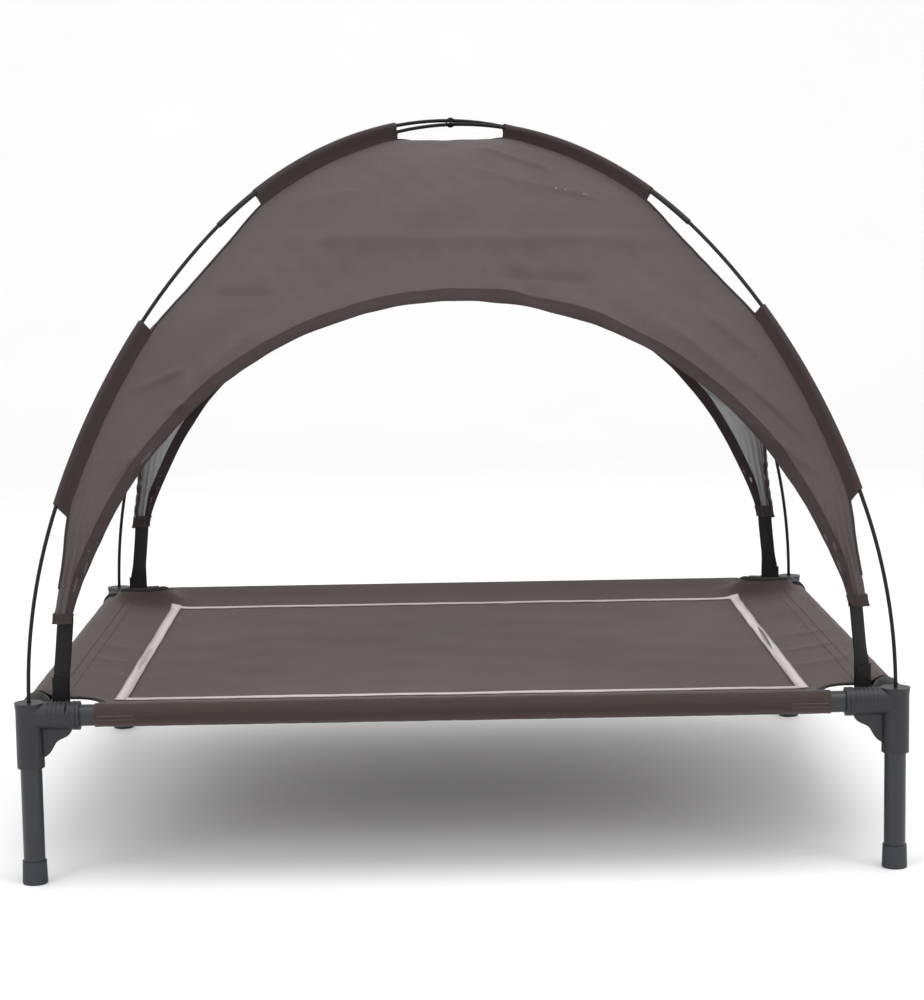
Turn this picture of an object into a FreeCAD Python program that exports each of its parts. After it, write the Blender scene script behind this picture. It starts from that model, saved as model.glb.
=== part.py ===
"""Raised dog bed on a tube frame, with an arched canopy on two crossing poles.

Millimetres. The origin is on the ground at the middle of the four feet, +X runs along
the long front side, +Y to the rear and +Z up.
"""
import math
import os

import FreeCAD
import Part

V = FreeCAD.Vector
UP = V(0, 0, 1)

# Driving dimensions: the frame
FRAME_LENGTH = 910.0          # over the connectors, along X
FRAME_WIDTH = 760.0           # over the connectors, along Y
DECK_HEIGHT = 188.0           # top of the corner connectors
TUBE_D = 22.0                 # rails and legs
TUBE_WALL = 1.2
TUBE_PLAY = 0.1               # radial play of a tube in its socket or cap
SOCKET_WALL = 2.9
SOCKET_DROP = 67.0            # from the connector's top down to the leg socket's mouth
SOCKET_REACH = 51.7           # mouth of a rail socket, from the leg axis
RIM_FLARE = 1.0               # flared rim round the connector's top, beyond the socket
RIM_HEIGHT = 8.0
COLLAR_PROUD = 0.7
COLLAR_RINGS = ((7.5, 3.2), (3.3, 3.3))   # start of each ring, back from the mouth, and length
RIB_PROUD = 0.65
RIB_COUNT = 6
RIB_PITCH = 4.4
RIB_WIDTH = 2.2
RIB_START = 17.5
SOCKET_FLOOR = 3.0            # plastic between the leg's end and the rail sockets
TUBE_END = 15.5               # end of a rail in its socket, from the leg axis
WEB_THICK = 5.0
WEB_OUTLINE = ((43.0, 0.0), (39.6, 6.0), (28.0, 12.5), (21.5, 22.5), (13.0, 28.8))
WEB_BITE = 2.0                # how far a web runs into the sockets it joins
CROTCH_REACH = 39.0           # free edge of the crotch web, along its diagonal
SLOT_OFFSET = 31.4            # near side of the strap slot, along the same diagonal
SLOT_GAP = 3.1
LOOP_PLAY = 0.15              # between the anchor loop and the web
ANCHOR_WIDTH = 24.0           # webbing of the anchor loops
ANCHOR_THICK = 1.2
ANCHOR_TAIL_RISE = 18.0       # top of the anchor's tail above the connectors
FOOT_HEIGHT = 24.0
FOOT_WALL = 1.3               # beside the leg, at the cap's top
FOOT_FLARE = 0.7              # the sole stands out this far beyond the top
FOOT_SOLE = 4.0
FOOT_EDGE = 1.5               # rounding round the sole

# Driving dimensions: the bed
SLEEVE_WALL = 1.1             # cloth sleeve round each rail
SLEEVE_PLAY = 0.1
NOTCH_PAST_X = 15.3           # corner notch, past the mouth of a rail socket
NOTCH_PAST_Y = 17.3
NOTCH_RADIUS = 16.0
SLING_THICK = 1.2
SLING_SAG = 12.5              # from the sleeve's shoulder down to the middle
SHOULDER = 6.0                # where the sheet leaves the sleeve, inward of the rail axis
TAPE_INSET = 76.8             # outer edge of the tape, from the leg axes
TAPE_WIDTH = 12.0
TAPE_THICK = 0.5
BINDING_WIDTH = 5.0
BINDING_PROUD = 0.5
BINDING_EDGE = 0.8            # how far the binding stands into the notch

# Driving dimensions: the canopy
CANOPY_RISE = 588.6           # top of the arched pole's axis above the connectors
POLE_D = 4.0
POLE_BORE = 1.8
POLE_HOLE_PLAY = 0.4
POLE_HOLE_DEPTH = 26.0
POLE_SEAT = 0.3               # air under the lower pole's end
FOOT_ANGLE = 21.3             # the pole's lower arc turns from upright to this
SHOULDER_ANGLE = 49.8         # and the middle arc from there to this
SHOULDER_RADIUS = 703.0       # radius of that middle arc
CROSSING_GAP = 0.3
CORD_D = 1.4
FERRULE_WALL = 0.95
FERRULE_LENGTH = 80.0
SECTIONS = 3
CORD_END = 2.0                # cord's end inside the pole's end
TIE_D = 12.0                  # band round the crossing
TIE_HEIGHT = 11.0
TIE_NOTCH = 20.0              # length of pole that is cut from the band
POCKET_SLEEVE_WALL = 0.8      # cloth tube that a pole runs through
POCKET_SLEEVE_PLAY = 1.4
FLAP_THICK = 1.2
FLAP_WIDTH = 16.0             # pole axis to the ridge seam
UPPER_SLEEVE = (82.0, 290.0)  # along the pole, from the crossing
LOWER_SLEEVE = (482.0, 698.0)
PANEL_THICK = 1.5
TOP_DIP = 30.0                # canopy's middle below the crossing
TOP_DIP_SHARE = 0.86          # share of that dip half-way to the upper sleeve
CHORD_SHARES = (0.3, 0.7)     # places on the straight run between the two sleeves
LEG_BOW = 1.0                 # inward bow of the ridge between its lower sleeve and its end
RIDGE_END = (34.0, 78.0)      # end of the ridge: inward of the leg axis, above the connector
ARCH_INSET = 38.0             # foot of the long sides' arch, inward of the leg axis
ARCH_HEIGHT = 403.0           # of the half oval, above its own middle
ARCH_DROP = 8.0               # that middle below the connectors' tops
HEM_WIDTH = 12.0
HEM_THICK = 0.5
POCKET_INSET = 46.0           # middle of a pocket, inward of the leg axis
POCKET_WIDTH = 26.0
POCKET_DEPTH = 10.0
POCKET_HEIGHT = 34.0
POCKET_DROP = 4.0             # how far a pocket hangs below the ridge's end
STRAP_WIDTH = 25.0
STRAP_THICK = 1.5
STRAP_DROP = 9.0              # end of the strap's tail below the connectors' tops
STRAP_BEND = 2.0              # the strap starts to lean this far above the anchor's tail
GRIP_GAP = 0.3                # between the strap's tail and the anchor's tail

# Drawing
TINY = 1e-4
TRIM = 1.0                    # how far a cutting shape runs past what it cuts
OFFSET_SAMPLES = 40           # points of a curve moved off the ridge

# Worked out
SOCKET_D = TUBE_D + 2 * (TUBE_PLAY + SOCKET_WALL)
RIM_D = SOCKET_D + 2 * RIM_FLARE
COLLAR_D = SOCKET_D + 2 * COLLAR_PROUD
RIB_D = SOCKET_D + 2 * RIB_PROUD
FOOT_TOP_D = TUBE_D + 2 * FOOT_WALL
FOOT_BOTTOM_D = FOOT_TOP_D + 2 * FOOT_FLARE
SLEEVE_D = TUBE_D + 2 * (SLEEVE_PLAY + SLEEVE_WALL)
NOTCH_X = SOCKET_REACH + NOTCH_PAST_X
NOTCH_Y = SOCKET_REACH + NOTCH_PAST_Y
POLE_HOLE_D = POLE_D + 2 * POLE_HOLE_PLAY
FERRULE_BORE = POLE_D + TUBE_PLAY
FERRULE_D = FERRULE_BORE + 2 * FERRULE_WALL
POCKET_SLEEVE_BORE = POLE_D + 2 * POCKET_SLEEVE_PLAY
POCKET_SLEEVE_D = POCKET_SLEEVE_BORE + 2 * POCKET_SLEEVE_WALL
AXIS_X = (FRAME_LENGTH - SOCKET_D) / 2
AXIS_Y = (FRAME_WIDTH - SOCKET_D) / 2
RAIL_Z = DECK_HEIGHT - SOCKET_D / 2
SOCKET_BOTTOM = DECK_HEIGHT - SOCKET_DROP
ANCHOR_TAIL_TOP = DECK_HEIGHT + ANCHOR_TAIL_RISE
STRAP_BOTTOM = DECK_HEIGHT - STRAP_DROP
ARCH_MIDDLE = DECK_HEIGHT - ARCH_DROP
LEG_TOP = RAIL_Z - SOCKET_D / 2 - SOCKET_FLOOR
HALF_DIAGONAL = math.hypot(AXIS_X, AXIS_Y)
COS_D, SIN_D = AXIS_X / HALF_DIAGONAL, AXIS_Y / HALF_DIAGONAL
CORNERS = (("front_left", -1, -1, 0), ("front_right", 1, -1, 90),
           ("rear_right", 1, 1, 180), ("rear_left", -1, 1, 270))


def save(name, shape):
    """Write one node's solids to its file."""
    shape.exportStep("parts/" + name + ".step")


def fuse(shapes):
    """Join shapes that touch or overlap into one."""
    return shapes[0].multiFuse(shapes[1:]).removeSplitter() if len(shapes) > 1 else shapes[0]


def cylinder(radius, start, end):
    """A round bar from one point to another."""
    way = end - start
    return Part.makeCylinder(radius, way.Length, start, way)


def tube(outer, inner, start, end):
    """A round tube from one point to another."""
    return cylinder(outer, start, end).cut(cylinder(inner, start, end))


def prism(points, height_vector):
    """A closed polygon pushed along a vector."""
    face = Part.Face(Part.makePolygon([V(*p) for p in points] + [V(*points[0])]))
    return face.extrude(height_vector)


def at_corner(shape, sx, sy, turn):
    """Place a shape made about a leg axis, with its rails along +X and +Y, at a corner."""
    placed = shape.copy()
    placed.rotate(V(0, 0, 0), UP, turn)
    placed.translate(V(sx * AXIS_X, sy * AXIS_Y, 0))
    return placed


def mirror_to(shape, sx, sy):
    """Mirror a shape made at the rear right corner to another corner."""
    placed = shape.copy()
    if sx < 0:
        placed = placed.mirror(V(0, 0, 0), V(1, 0, 0))
    if sy < 0:
        placed = placed.mirror(V(0, 0, 0), V(0, 1, 0))
    return placed


# ---------------------------------------------------------------- frame

def gusset():
    """Web under the rail socket that runs along +X, with its curved free edge."""
    low = RAIL_Z - SOCKET_D / 2
    inner = SOCKET_D / 2 - WEB_BITE
    top = RAIL_Z - SOCKET_D / 4
    curve = Part.BSplineCurve()
    curve.interpolate([V(x, 0, low - drop) for x, drop in WEB_OUTLINE])
    first, last = curve.value(curve.FirstParameter), curve.value(curve.LastParameter)
    corner = [last, V(inner, 0, last.z), V(inner, 0, top), V(first.x, 0, top), first]
    edges = [curve.toShape()] + [Part.makeLine(a, b) for a, b in zip(corner, corner[1:])]
    face = Part.Face(Part.Wire(edges))
    face.translate(V(0, -WEB_THICK / 2, 0))
    return face.extrude(V(0, WEB_THICK, 0))


def crotch_web():
    """Flat web between the two rail sockets, with a slot for the anchor loop."""
    reach = CROTCH_REACH * math.sqrt(2)
    near = SOCKET_D / 2 - WEB_BITE
    low = RAIL_Z - WEB_THICK / 2
    far = reach - near
    web = prism([(near, near, low), (far, near, low), (near, far, low)], V(0, 0, WEB_THICK))
    width = ANCHOR_WIDTH + 4 * LOOP_PLAY
    slot = Part.makeBox(SLOT_GAP, width, 2 * WEB_THICK, V(SLOT_OFFSET, -width / 2, low - WEB_THICK / 2))
    slot.rotate(V(0, 0, 0), UP, 45)
    return web, slot


def rail_socket():
    """Socket along +X with its collar rings and the ribs over its top."""
    centre = V(0, 0, RAIL_Z)
    along = V(1, 0, 0)
    pieces = [Part.makeCylinder(SOCKET_D / 2, SOCKET_REACH, centre, along)]
    for back, length in COLLAR_RINGS:
        start = centre + along * (SOCKET_REACH - back)
        pieces.append(Part.makeCylinder(COLLAR_D / 2, length, start, along))
    for i in range(RIB_COUNT):
        ring = Part.makeCylinder(RIB_D / 2, RIB_WIDTH, centre + along * (RIB_START + i * RIB_PITCH), along)
        top_half = Part.makeBox(RIB_WIDTH, RIB_D, RIB_D / 2,
                                V(RIB_START + i * RIB_PITCH, -RIB_D / 2, RAIL_Z + SOCKET_D / 8))
        pieces.append(ring.common(top_half))
    bore = Part.makeCylinder(TUBE_D / 2 + TUBE_PLAY, SOCKET_REACH, V(TUBE_END, 0, RAIL_Z), along)
    return fuse(pieces), bore


def corner_connector():
    """Three-way connector about a leg axis, rails towards +X and +Y."""
    socket, bore = rail_socket()
    side_socket, side_bore, side_web = socket.copy(), bore.copy(), gusset()
    for shape in (side_socket, side_bore, side_web):
        shape.rotate(V(0, 0, 0), UP, 90)
    upright = cylinder(SOCKET_D / 2, V(0, 0, SOCKET_BOTTOM), V(0, 0, DECK_HEIGHT))
    rim = Part.makeCone(SOCKET_D / 2, RIM_D / 2, RIM_HEIGHT, V(0, 0, DECK_HEIGHT - RIM_HEIGHT))
    web, slot = crotch_web()
    body = fuse([upright, rim, socket, side_socket, gusset(), side_web, web])
    leg_bore = cylinder(TUBE_D / 2 + TUBE_PLAY, V(0, 0, SOCKET_BOTTOM), V(0, 0, LEG_TOP))
    pole_hole = cylinder(POLE_HOLE_D / 2, V(0, 0, DECK_HEIGHT - POLE_HOLE_DEPTH), V(0, 0, DECK_HEIGHT))
    for cavity in (bore, side_bore, leg_bore, pole_hole, slot):
        body = body.cut(cavity)
    return body


def anchor_loop():
    """Webbing ring round the crotch web's free bar, with an upstanding tail."""
    inside = SLOT_OFFSET + SLOT_GAP - LOOP_PLAY
    outside = CROTCH_REACH + LOOP_PLAY
    half = WEB_THICK / 2 + LOOP_PLAY
    across = V(0, -ANCHOR_WIDTH / 2, 0)
    outer = Part.makeBox(outside - inside + 2 * ANCHOR_THICK, ANCHOR_WIDTH, 2 * (half + ANCHOR_THICK),
                         V(inside - ANCHOR_THICK, 0, RAIL_Z - half - ANCHOR_THICK) + across)
    hollow = Part.makeBox(outside - inside, ANCHOR_WIDTH, 2 * half, V(inside, 0, RAIL_Z - half) + across)
    tail = Part.makeBox(ANCHOR_THICK, ANCHOR_WIDTH, ANCHOR_TAIL_TOP - RAIL_Z, V(outside, 0, RAIL_Z) + across)
    loop = fuse([outer.cut(hollow), tail])
    loop.rotate(V(0, 0, 0), UP, 45)
    return loop


def foot_cap():
    """Cap that the leg tube stands in."""
    body = Part.makeCone(FOOT_BOTTOM_D / 2, FOOT_TOP_D / 2, FOOT_HEIGHT)
    rim = [edge for edge in body.Edges if edge.BoundBox.ZMax < FOOT_EDGE]
    body = body.makeFillet(FOOT_EDGE, rim)
    return body.cut(cylinder(TUBE_D / 2 + TUBE_PLAY / 2, V(0, 0, FOOT_SOLE), V(0, 0, FOOT_HEIGHT)))


def make_frame():
    """Connectors, rails, legs and feet."""
    connector, loop, cap = corner_connector(), anchor_loop(), foot_cap()
    leg = tube(TUBE_D / 2, TUBE_D / 2 - TUBE_WALL, V(0, 0, FOOT_SOLE), V(0, 0, LEG_TOP))
    for name, sx, sy, turn in CORNERS:
        save("corner_connector_" + name, at_corner(connector, sx, sy, turn))
        save("leg_tube_" + name, at_corner(leg, sx, sy, turn))
        save("foot_cap_" + name, at_corner(cap, sx, sy, turn))
    loops = [at_corner(loop, sx, sy, turn) for _, sx, sy, turn in CORNERS]
    save("strap_anchor_loops", Part.makeCompound(loops))
    end_x, end_y = AXIS_X - TUBE_END, AXIS_Y - TUBE_END
    for name, side in (("front_rail", -1), ("rear_rail", 1)):
        y = side * AXIS_Y
        save(name, tube(TUBE_D / 2, TUBE_D / 2 - TUBE_WALL, V(-end_x, y, RAIL_Z), V(end_x, y, RAIL_Z)))
    for name, side in (("left_rail", -1), ("right_rail", 1)):
        x = side * AXIS_X
        save(name, tube(TUBE_D / 2, TUBE_D / 2 - TUBE_WALL, V(x, -end_y, RAIL_Z), V(x, end_y, RAIL_Z)))


# ---------------------------------------------------------------- bed

def rectangle(inset, z):
    """A rectangle a given distance inside the leg axes, at a height."""
    x, y = AXIS_X - inset, AXIS_Y - inset
    corners = [V(-x, -y, z), V(x, -y, z), V(x, y, z), V(-x, y, z)]
    return Part.makePolygon(corners + corners[:1])


SHOULDER_Z = RAIL_Z + math.sqrt((SLEEVE_D / 2) ** 2 - SHOULDER ** 2)
SLING_Z = SHOULDER_Z - SLING_SAG


def dish(lift):
    """The hollow above the sheet: flat in the middle, sloping up to the sleeves."""
    floor, brim = rectangle(TAPE_INSET, SLING_Z + lift), rectangle(SHOULDER, SHOULDER_Z + lift)
    return Part.makeLoft([floor, brim], True, True)


def notch(grow):
    """Rounded corner notch in the sheet, grown by a distance, at the front left corner."""
    x, y, r = NOTCH_X + grow, NOTCH_Y + grow, NOTCH_RADIUS + grow
    beyond = SOCKET_REACH
    tall = DECK_HEIGHT - SOCKET_BOTTOM
    block = Part.makeBox(x + beyond, y + beyond, tall, V(-beyond, -beyond, SOCKET_BOTTOM))
    edge = [e for e in block.Edges if abs(e.CenterOfMass.x - x) < TINY and abs(e.CenterOfMass.y - y) < TINY]
    return block.makeFillet(r, edge)


def notches(grow):
    """The four notches."""
    x, y = V(1, 0, 0), V(0, 1, 0)
    first = notch(grow)
    first.translate(V(-AXIS_X, -AXIS_Y, 0))
    right = first.mirror(V(0, 0, 0), x)
    return [first, right, first.mirror(V(0, 0, 0), y), right.mirror(V(0, 0, 0), y)]


def make_bed():
    """Sling with its sleeves, the bound notch edges and the tape."""
    sheet = dish(-SLING_THICK).cut(dish(0))
    bands = dish(-SLING_THICK - BINDING_PROUD).cut(dish(BINDING_PROUD))
    bindings = []
    for gap, wide in zip(notches(-BINDING_EDGE), notches(BINDING_WIDTH)):
        bindings.append(bands.common(wide).cut(gap))
    for gap in notches(0):
        sheet = sheet.cut(gap)
    reach_x, reach_y = AXIS_X - NOTCH_X, AXIS_Y - NOTCH_Y
    inner = SLEEVE_D / 2 - SLEEVE_WALL
    runs = [(V(-reach_x, s * AXIS_Y, RAIL_Z), V(reach_x, s * AXIS_Y, RAIL_Z)) for s in (-1, 1)]
    runs += [(V(s * AXIS_X, -reach_y, RAIL_Z), V(s * AXIS_X, reach_y, RAIL_Z)) for s in (-1, 1)]
    sling = fuse([sheet] + [cylinder(SLEEVE_D / 2, a, b) for a, b in runs])
    for a, b in runs:
        sling = sling.cut(cylinder(inner, a, b))
    save("bed_sling", sling)
    solid_sleeves = fuse([sling] + [cylinder(SLEEVE_D / 2, a, b) for a, b in runs])
    save("notch_bindings", Part.makeCompound([b.cut(solid_sleeves) for b in bindings]))
    outer, inner = (Part.Face(rectangle(inset, SLING_Z)) for inset in (TAPE_INSET, TAPE_INSET + TAPE_WIDTH))
    tape = outer.cut(inner)
    save("reflective_tape", tape.extrude(V(0, 0, TAPE_THICK)))


# ---------------------------------------------------------------- poles

def solve_pole():
    """Radii of the lower and top arcs that join the corner to the crossing."""
    c1, s1 = math.cos(math.radians(FOOT_ANGLE)), math.sin(math.radians(FOOT_ANGLE))
    c2, s2 = math.cos(math.radians(SHOULDER_ANGLE)), math.sin(math.radians(SHOULDER_ANGLE))
    across = HALF_DIAGONAL - SHOULDER_RADIUS * (c1 - c2)
    up = CANOPY_RISE - SHOULDER_RADIUS * (s2 - s1)
    det = (1 - c1) * (1 - s2) - c2 * s1
    return (across * (1 - s2) - up * c2) / det, ((1 - c1) * up - s1 * across) / det


FOOT_RADIUS, TOP_RADIUS = solve_pole()
# Arcs from the crossing down to the corner: radius, start angle and end angle from upright
ARCS = ((TOP_RADIUS, 90.0, SHOULDER_ANGLE), (SHOULDER_RADIUS, SHOULDER_ANGLE, FOOT_ANGLE),
        (FOOT_RADIUS, FOOT_ANGLE, 0.0))
ARC_LENGTHS = [radius * math.radians(start - end) for radius, start, end in ARCS]
STUB = POLE_HOLE_DEPTH - POLE_SEAT - POLE_D - CROSSING_GAP   # upper pole's straight end in its hole
HALF_POLE = sum(ARC_LENGTHS) + STUB
APEX_Z = DECK_HEIGHT + CANOPY_RISE


def pole_point(distance, offset=0.0):
    """A point along the pole from the crossing, moved towards the inside by offset."""
    s, z, left = 0.0, APEX_Z, distance
    for (radius, start, _), length in zip(ARCS, ARC_LENGTHS):
        step = min(left, length)
        a, b = math.radians(start), math.radians(start) - step / radius
        s += radius * (math.cos(b) - math.cos(a))
        z -= radius * (math.sin(a) - math.sin(b))
        left -= step
        heading = b
        if left <= 0:
            break
    z -= max(left, 0)
    return s - offset * math.cos(heading), z - offset * math.sin(heading)


def in_plane(s, z, drop=0.0):
    """A point of a pole's own upright plane, laid along X."""
    return V(s, 0, z - drop)


def pole_edges(start, end, offset=0.0):
    """Path edges along the pole between two distances from the crossing."""
    marks = [0.0]
    for length in ARC_LENGTHS + [STUB]:
        marks.append(marks[-1] + length)
    edges = []
    for i, (low, high) in enumerate(zip(marks, marks[1:])):
        a, b = max(low, start), min(high, end)
        if b - a < TINY:
            continue
        p, m, q = (in_plane(*pole_point(d, offset)) for d in (a, (a + b) / 2, b))
        edges.append(Part.makeLine(p, q) if i == len(ARC_LENGTHS) else Part.Arc(p, m, q).toShape())
    return edges


def rod(edges, radius):
    """A round bar along a path that lies in the pole's plane."""
    start = edges[0].valueAt(edges[0].FirstParameter)
    way = edges[0].tangentAt(edges[0].FirstParameter)
    circle = Part.Wire([Part.makeCircle(radius, start, way)])
    return Part.Wire(edges).makePipeShell([circle], True, False)


def flap(start, end):
    """Flat cloth from the pole's tube inwards, past the ridge seam."""
    past = FLAP_WIDTH + POLE_D + CROSSING_GAP + TRIM
    joined = (POCKET_SLEEVE_BORE + POCKET_SLEEVE_D) / 4
    outer, inner = pole_edges(start, end, joined), pole_edges(start, end, past)
    ends = [(outer[0].Vertexes[0].Point, inner[0].Vertexes[0].Point),
            (outer[-1].Vertexes[-1].Point, inner[-1].Vertexes[-1].Point)]
    edges = outer + inner + [Part.makeLine(a, b) for a, b in ends]
    face = Part.Face(Part.Wire(Part.__sortEdges__(edges)))
    face.translate(V(0, -FLAP_THICK / 2, 0))
    return face.extrude(V(0, FLAP_THICK, 0))


def sleeve(start, end, drop):
    """Cloth tube round the pole, with its flap trimmed to the ridge seam."""
    edges = pole_edges(start, end)
    body = fuse([rod(edges, POCKET_SLEEVE_D / 2), flap(start, end)])
    body = body.cut(rod(edges, POCKET_SLEEVE_BORE / 2))
    body.translate(V(0, 0, -drop))
    return body.cut(under_ridge())


def ridge_curve(scale):
    """The ridge seam seen along X, with its distance from the middle scaled."""
    spline = Part.BSplineCurve()
    spline.interpolate([V(0, -s * scale, z) for s, z in ridge_points()])
    return spline


def under_ridge():
    """Everything inside the ridge seam, as a slab in a pole's own plane."""
    curve = ridge_curve(1.0)
    top, end = curve.StartPoint, curve.EndPoint
    inside = V(0, 0, end.z)
    edges = [curve.toShape(), Part.makeLine(end, inside), Part.makeLine(inside, top)]
    slab = Part.Face(Part.Wire(edges)).extrude(V(2 * FLAP_WIDTH, 0, 0))
    slab.translate(V(-FLAP_WIDTH, 0, 0))
    slab.rotate(V(0, 0, 0), UP, 90)
    return slab


def turn_to(shape, sx, sy, drop=0.0):
    """Turn a shape from the X plane to the upright plane of a corner's diagonal."""
    placed = shape.copy()
    placed.rotate(V(0, 0, 0), UP, math.degrees(math.atan2(sy * AXIS_Y, sx * AXIS_X)))
    placed.translate(V(0, 0, -drop))
    return placed


def mirrored(edges):
    """The same edges on the other side of the crossing, in travelling order."""
    flipped = []
    for edge in reversed(edges):
        points = [edge.valueAt(edge.FirstParameter + (edge.LastParameter - edge.FirstParameter) * t)
                  for t in (1.0, 0.5, 0.0)]
        points = [V(-p.x, p.y, p.z) for p in points]
        bent = abs(points[0].x - points[2].x) > TINY
        flipped.append(Part.Arc(*points).toShape() if bent else Part.makeLine(points[0], points[2]))
    return flipped


def make_poles():
    """Two poles of three sections with their ferrules and inner cords, and the tie."""
    joint = HALF_POLE / SECTIONS
    lower_drop = POLE_D + CROSSING_GAP
    for letter, (sx, sy), drop in (("upper", (-1, -1), 0.0), ("lower", (1, -1), lower_drop)):
        outer_path = pole_edges(joint, HALF_POLE)
        outer = rod(outer_path, POLE_D / 2).cut(rod(outer_path, POLE_BORE / 2))
        middle_path = mirrored(pole_edges(0, joint)) + pole_edges(0, joint)
        middle = rod(middle_path, POLE_D / 2).cut(rod(middle_path, POLE_BORE / 2))
        ferrule_path = pole_edges(joint - FERRULE_LENGTH / 2, joint + FERRULE_LENGTH / 2)
        ferrule = rod(ferrule_path, FERRULE_D / 2).cut(rod(ferrule_path, FERRULE_BORE / 2))
        cord_path = mirrored(pole_edges(0, HALF_POLE - CORD_END)) + pole_edges(0, HALF_POLE - CORD_END)
        save(letter + "_pole_front_section", turn_to(outer, sx, sy, drop))
        save(letter + "_pole_rear_section", turn_to(outer, -sx, -sy, drop))
        save(letter + "_pole_middle_section", turn_to(middle, sx, sy, drop))
        save(letter + "_pole_shock_cord", turn_to(rod(cord_path, CORD_D / 2), sx, sy, drop))
        save(letter + "_pole_ferrules", Part.makeCompound([turn_to(ferrule, sx, sy, drop),
                                                           turn_to(ferrule, -sx, -sy, drop)]))
    crossing = APEX_Z - lower_drop / 2
    band = Part.makeCylinder(TIE_D / 2, TIE_HEIGHT, V(0, 0, crossing - TIE_HEIGHT / 2))
    short = rod(mirrored(pole_edges(0, TIE_NOTCH)) + pole_edges(0, TIE_NOTCH), POLE_D / 2 + TUBE_PLAY / 2)
    for sx, drop in ((-1, 0.0), (1, lower_drop)):
        band = band.cut(turn_to(short, sx, -1, drop))
    save("pole_crossing_tie", band)


# ---------------------------------------------------------------- canopy

def ridge_points():
    """The ridge seam from the middle of the canopy down to its corner, in a diagonal plane."""
    middle = [(0.0, APEX_Z - TOP_DIP), (UPPER_SLEEVE[0] / 2, APEX_Z - TOP_DIP * TOP_DIP_SHARE)]
    upper, lower = ([pole_point(start + (end - start) * i / 4, FLAP_WIDTH) for i in range(5)]
                    for start, end in (UPPER_SLEEVE, LOWER_SLEEVE))
    chord = [along_line(upper[-1], lower[0], share) for share in CHORD_SHARES]
    end = (HALF_DIAGONAL - RIDGE_END[0], DECK_HEIGHT + RIDGE_END[1])
    s, z = along_line(lower[-1], end, 0.5)
    return middle + upper + chord + lower + [(s - LEG_BOW, z), end]


def along_line(start, end, share):
    """A point between two points."""
    return start[0] + (end[0] - start[0]) * share, start[1] + (end[1] - start[1]) * share


def panel_blank(scale, lift, thick):
    """A cloth strip with the ridge's outline, pushed straight across both ways.

    lift moves its outer face outwards and thick is its wall.
    """
    curves = []
    spline = ridge_curve(scale)
    first, last = spline.FirstParameter, spline.LastParameter
    for depth in (-lift, thick - lift):
        moved = []
        for i in range(OFFSET_SAMPLES + 1):
            t = first + (last - first) * i / OFFSET_SAMPLES
            way = spline.tangent(t)[0]
            inward = V(0, -way.z, way.y)
            moved.append(spline.value(t) + inward * depth)
        curve = Part.BSplineCurve()
        curve.interpolate(moved)
        curves.append(curve)
    ends = [Part.makeLine(curves[0].StartPoint, curves[1].StartPoint),
            Part.makeLine(curves[0].EndPoint, curves[1].EndPoint)]
    face = Part.Face(Part.Wire(Part.__sortEdges__([c.toShape() for c in curves] + ends)))
    reach = AXIS_X + AXIS_Y
    face.translate(V(-reach, 0, 0))
    return face.extrude(V(2 * reach, 0, 0))


def wedge(half_x, half_y):
    """The quarter of the plan that lies in front of both diagonals."""
    x, y = 2 * half_x, 2 * half_y
    return prism([(0, 0, 0), (-x, -y, 0), (x, -y, 0)], V(0, 0, APEX_Z))


def arch(half_x, grow):
    """The opening under a panel: a half round, or a half oval on the short sides."""
    radius = ARCH_HEIGHT + grow
    shape = Part.makeCylinder(radius, FRAME_WIDTH + FRAME_LENGTH, V(0, 0, ARCH_MIDDLE), V(0, -1, 0))
    squeeze = FreeCAD.Matrix()
    squeeze.scale(half_x / AXIS_X * (AXIS_X - ARCH_INSET) / ARCH_HEIGHT, 1, 1)
    return shape.transformGeometry(squeeze)


def pocket_block(grow):
    """Solid outline of the gathered pocket at the rear right corner."""
    deep, wide = POCKET_DEPTH + 2 * grow, POCKET_WIDTH + 2 * grow
    bottom = DECK_HEIGHT + RIDGE_END[1] - POCKET_DROP
    block = Part.makeBox(deep, wide, POCKET_HEIGHT, V(-deep / 2, -wide / 2, bottom))
    block.rotate(V(0, 0, 0), UP, math.degrees(math.atan2(AXIS_Y, AXIS_X)))
    inward = HALF_DIAGONAL - POCKET_INSET
    block.translate(V(inward * COS_D, inward * SIN_D, 0))
    return block


def strap():
    """Webbing from the pocket down to the anchor's tail, at the front left corner."""
    near = CROTCH_REACH + LOOP_PLAY + ANCHOR_THICK + GRIP_GAP
    top = DECK_HEIGHT + RIDGE_END[1] - POCKET_DROP
    bend = ANCHOR_TAIL_TOP + STRAP_BEND
    pocket = POCKET_INSET - STRAP_THICK / 2
    outline = [(near, STRAP_BOTTOM), (near, bend), (pocket, top), (pocket + STRAP_THICK, top),
               (near + STRAP_THICK, bend), (near + STRAP_THICK, STRAP_BOTTOM)]
    band = prism([(d, -STRAP_WIDTH / 2, z) for d, z in outline], V(0, STRAP_WIDTH, 0))
    band.rotate(V(0, 0, 0), UP, 45)
    return band


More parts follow.
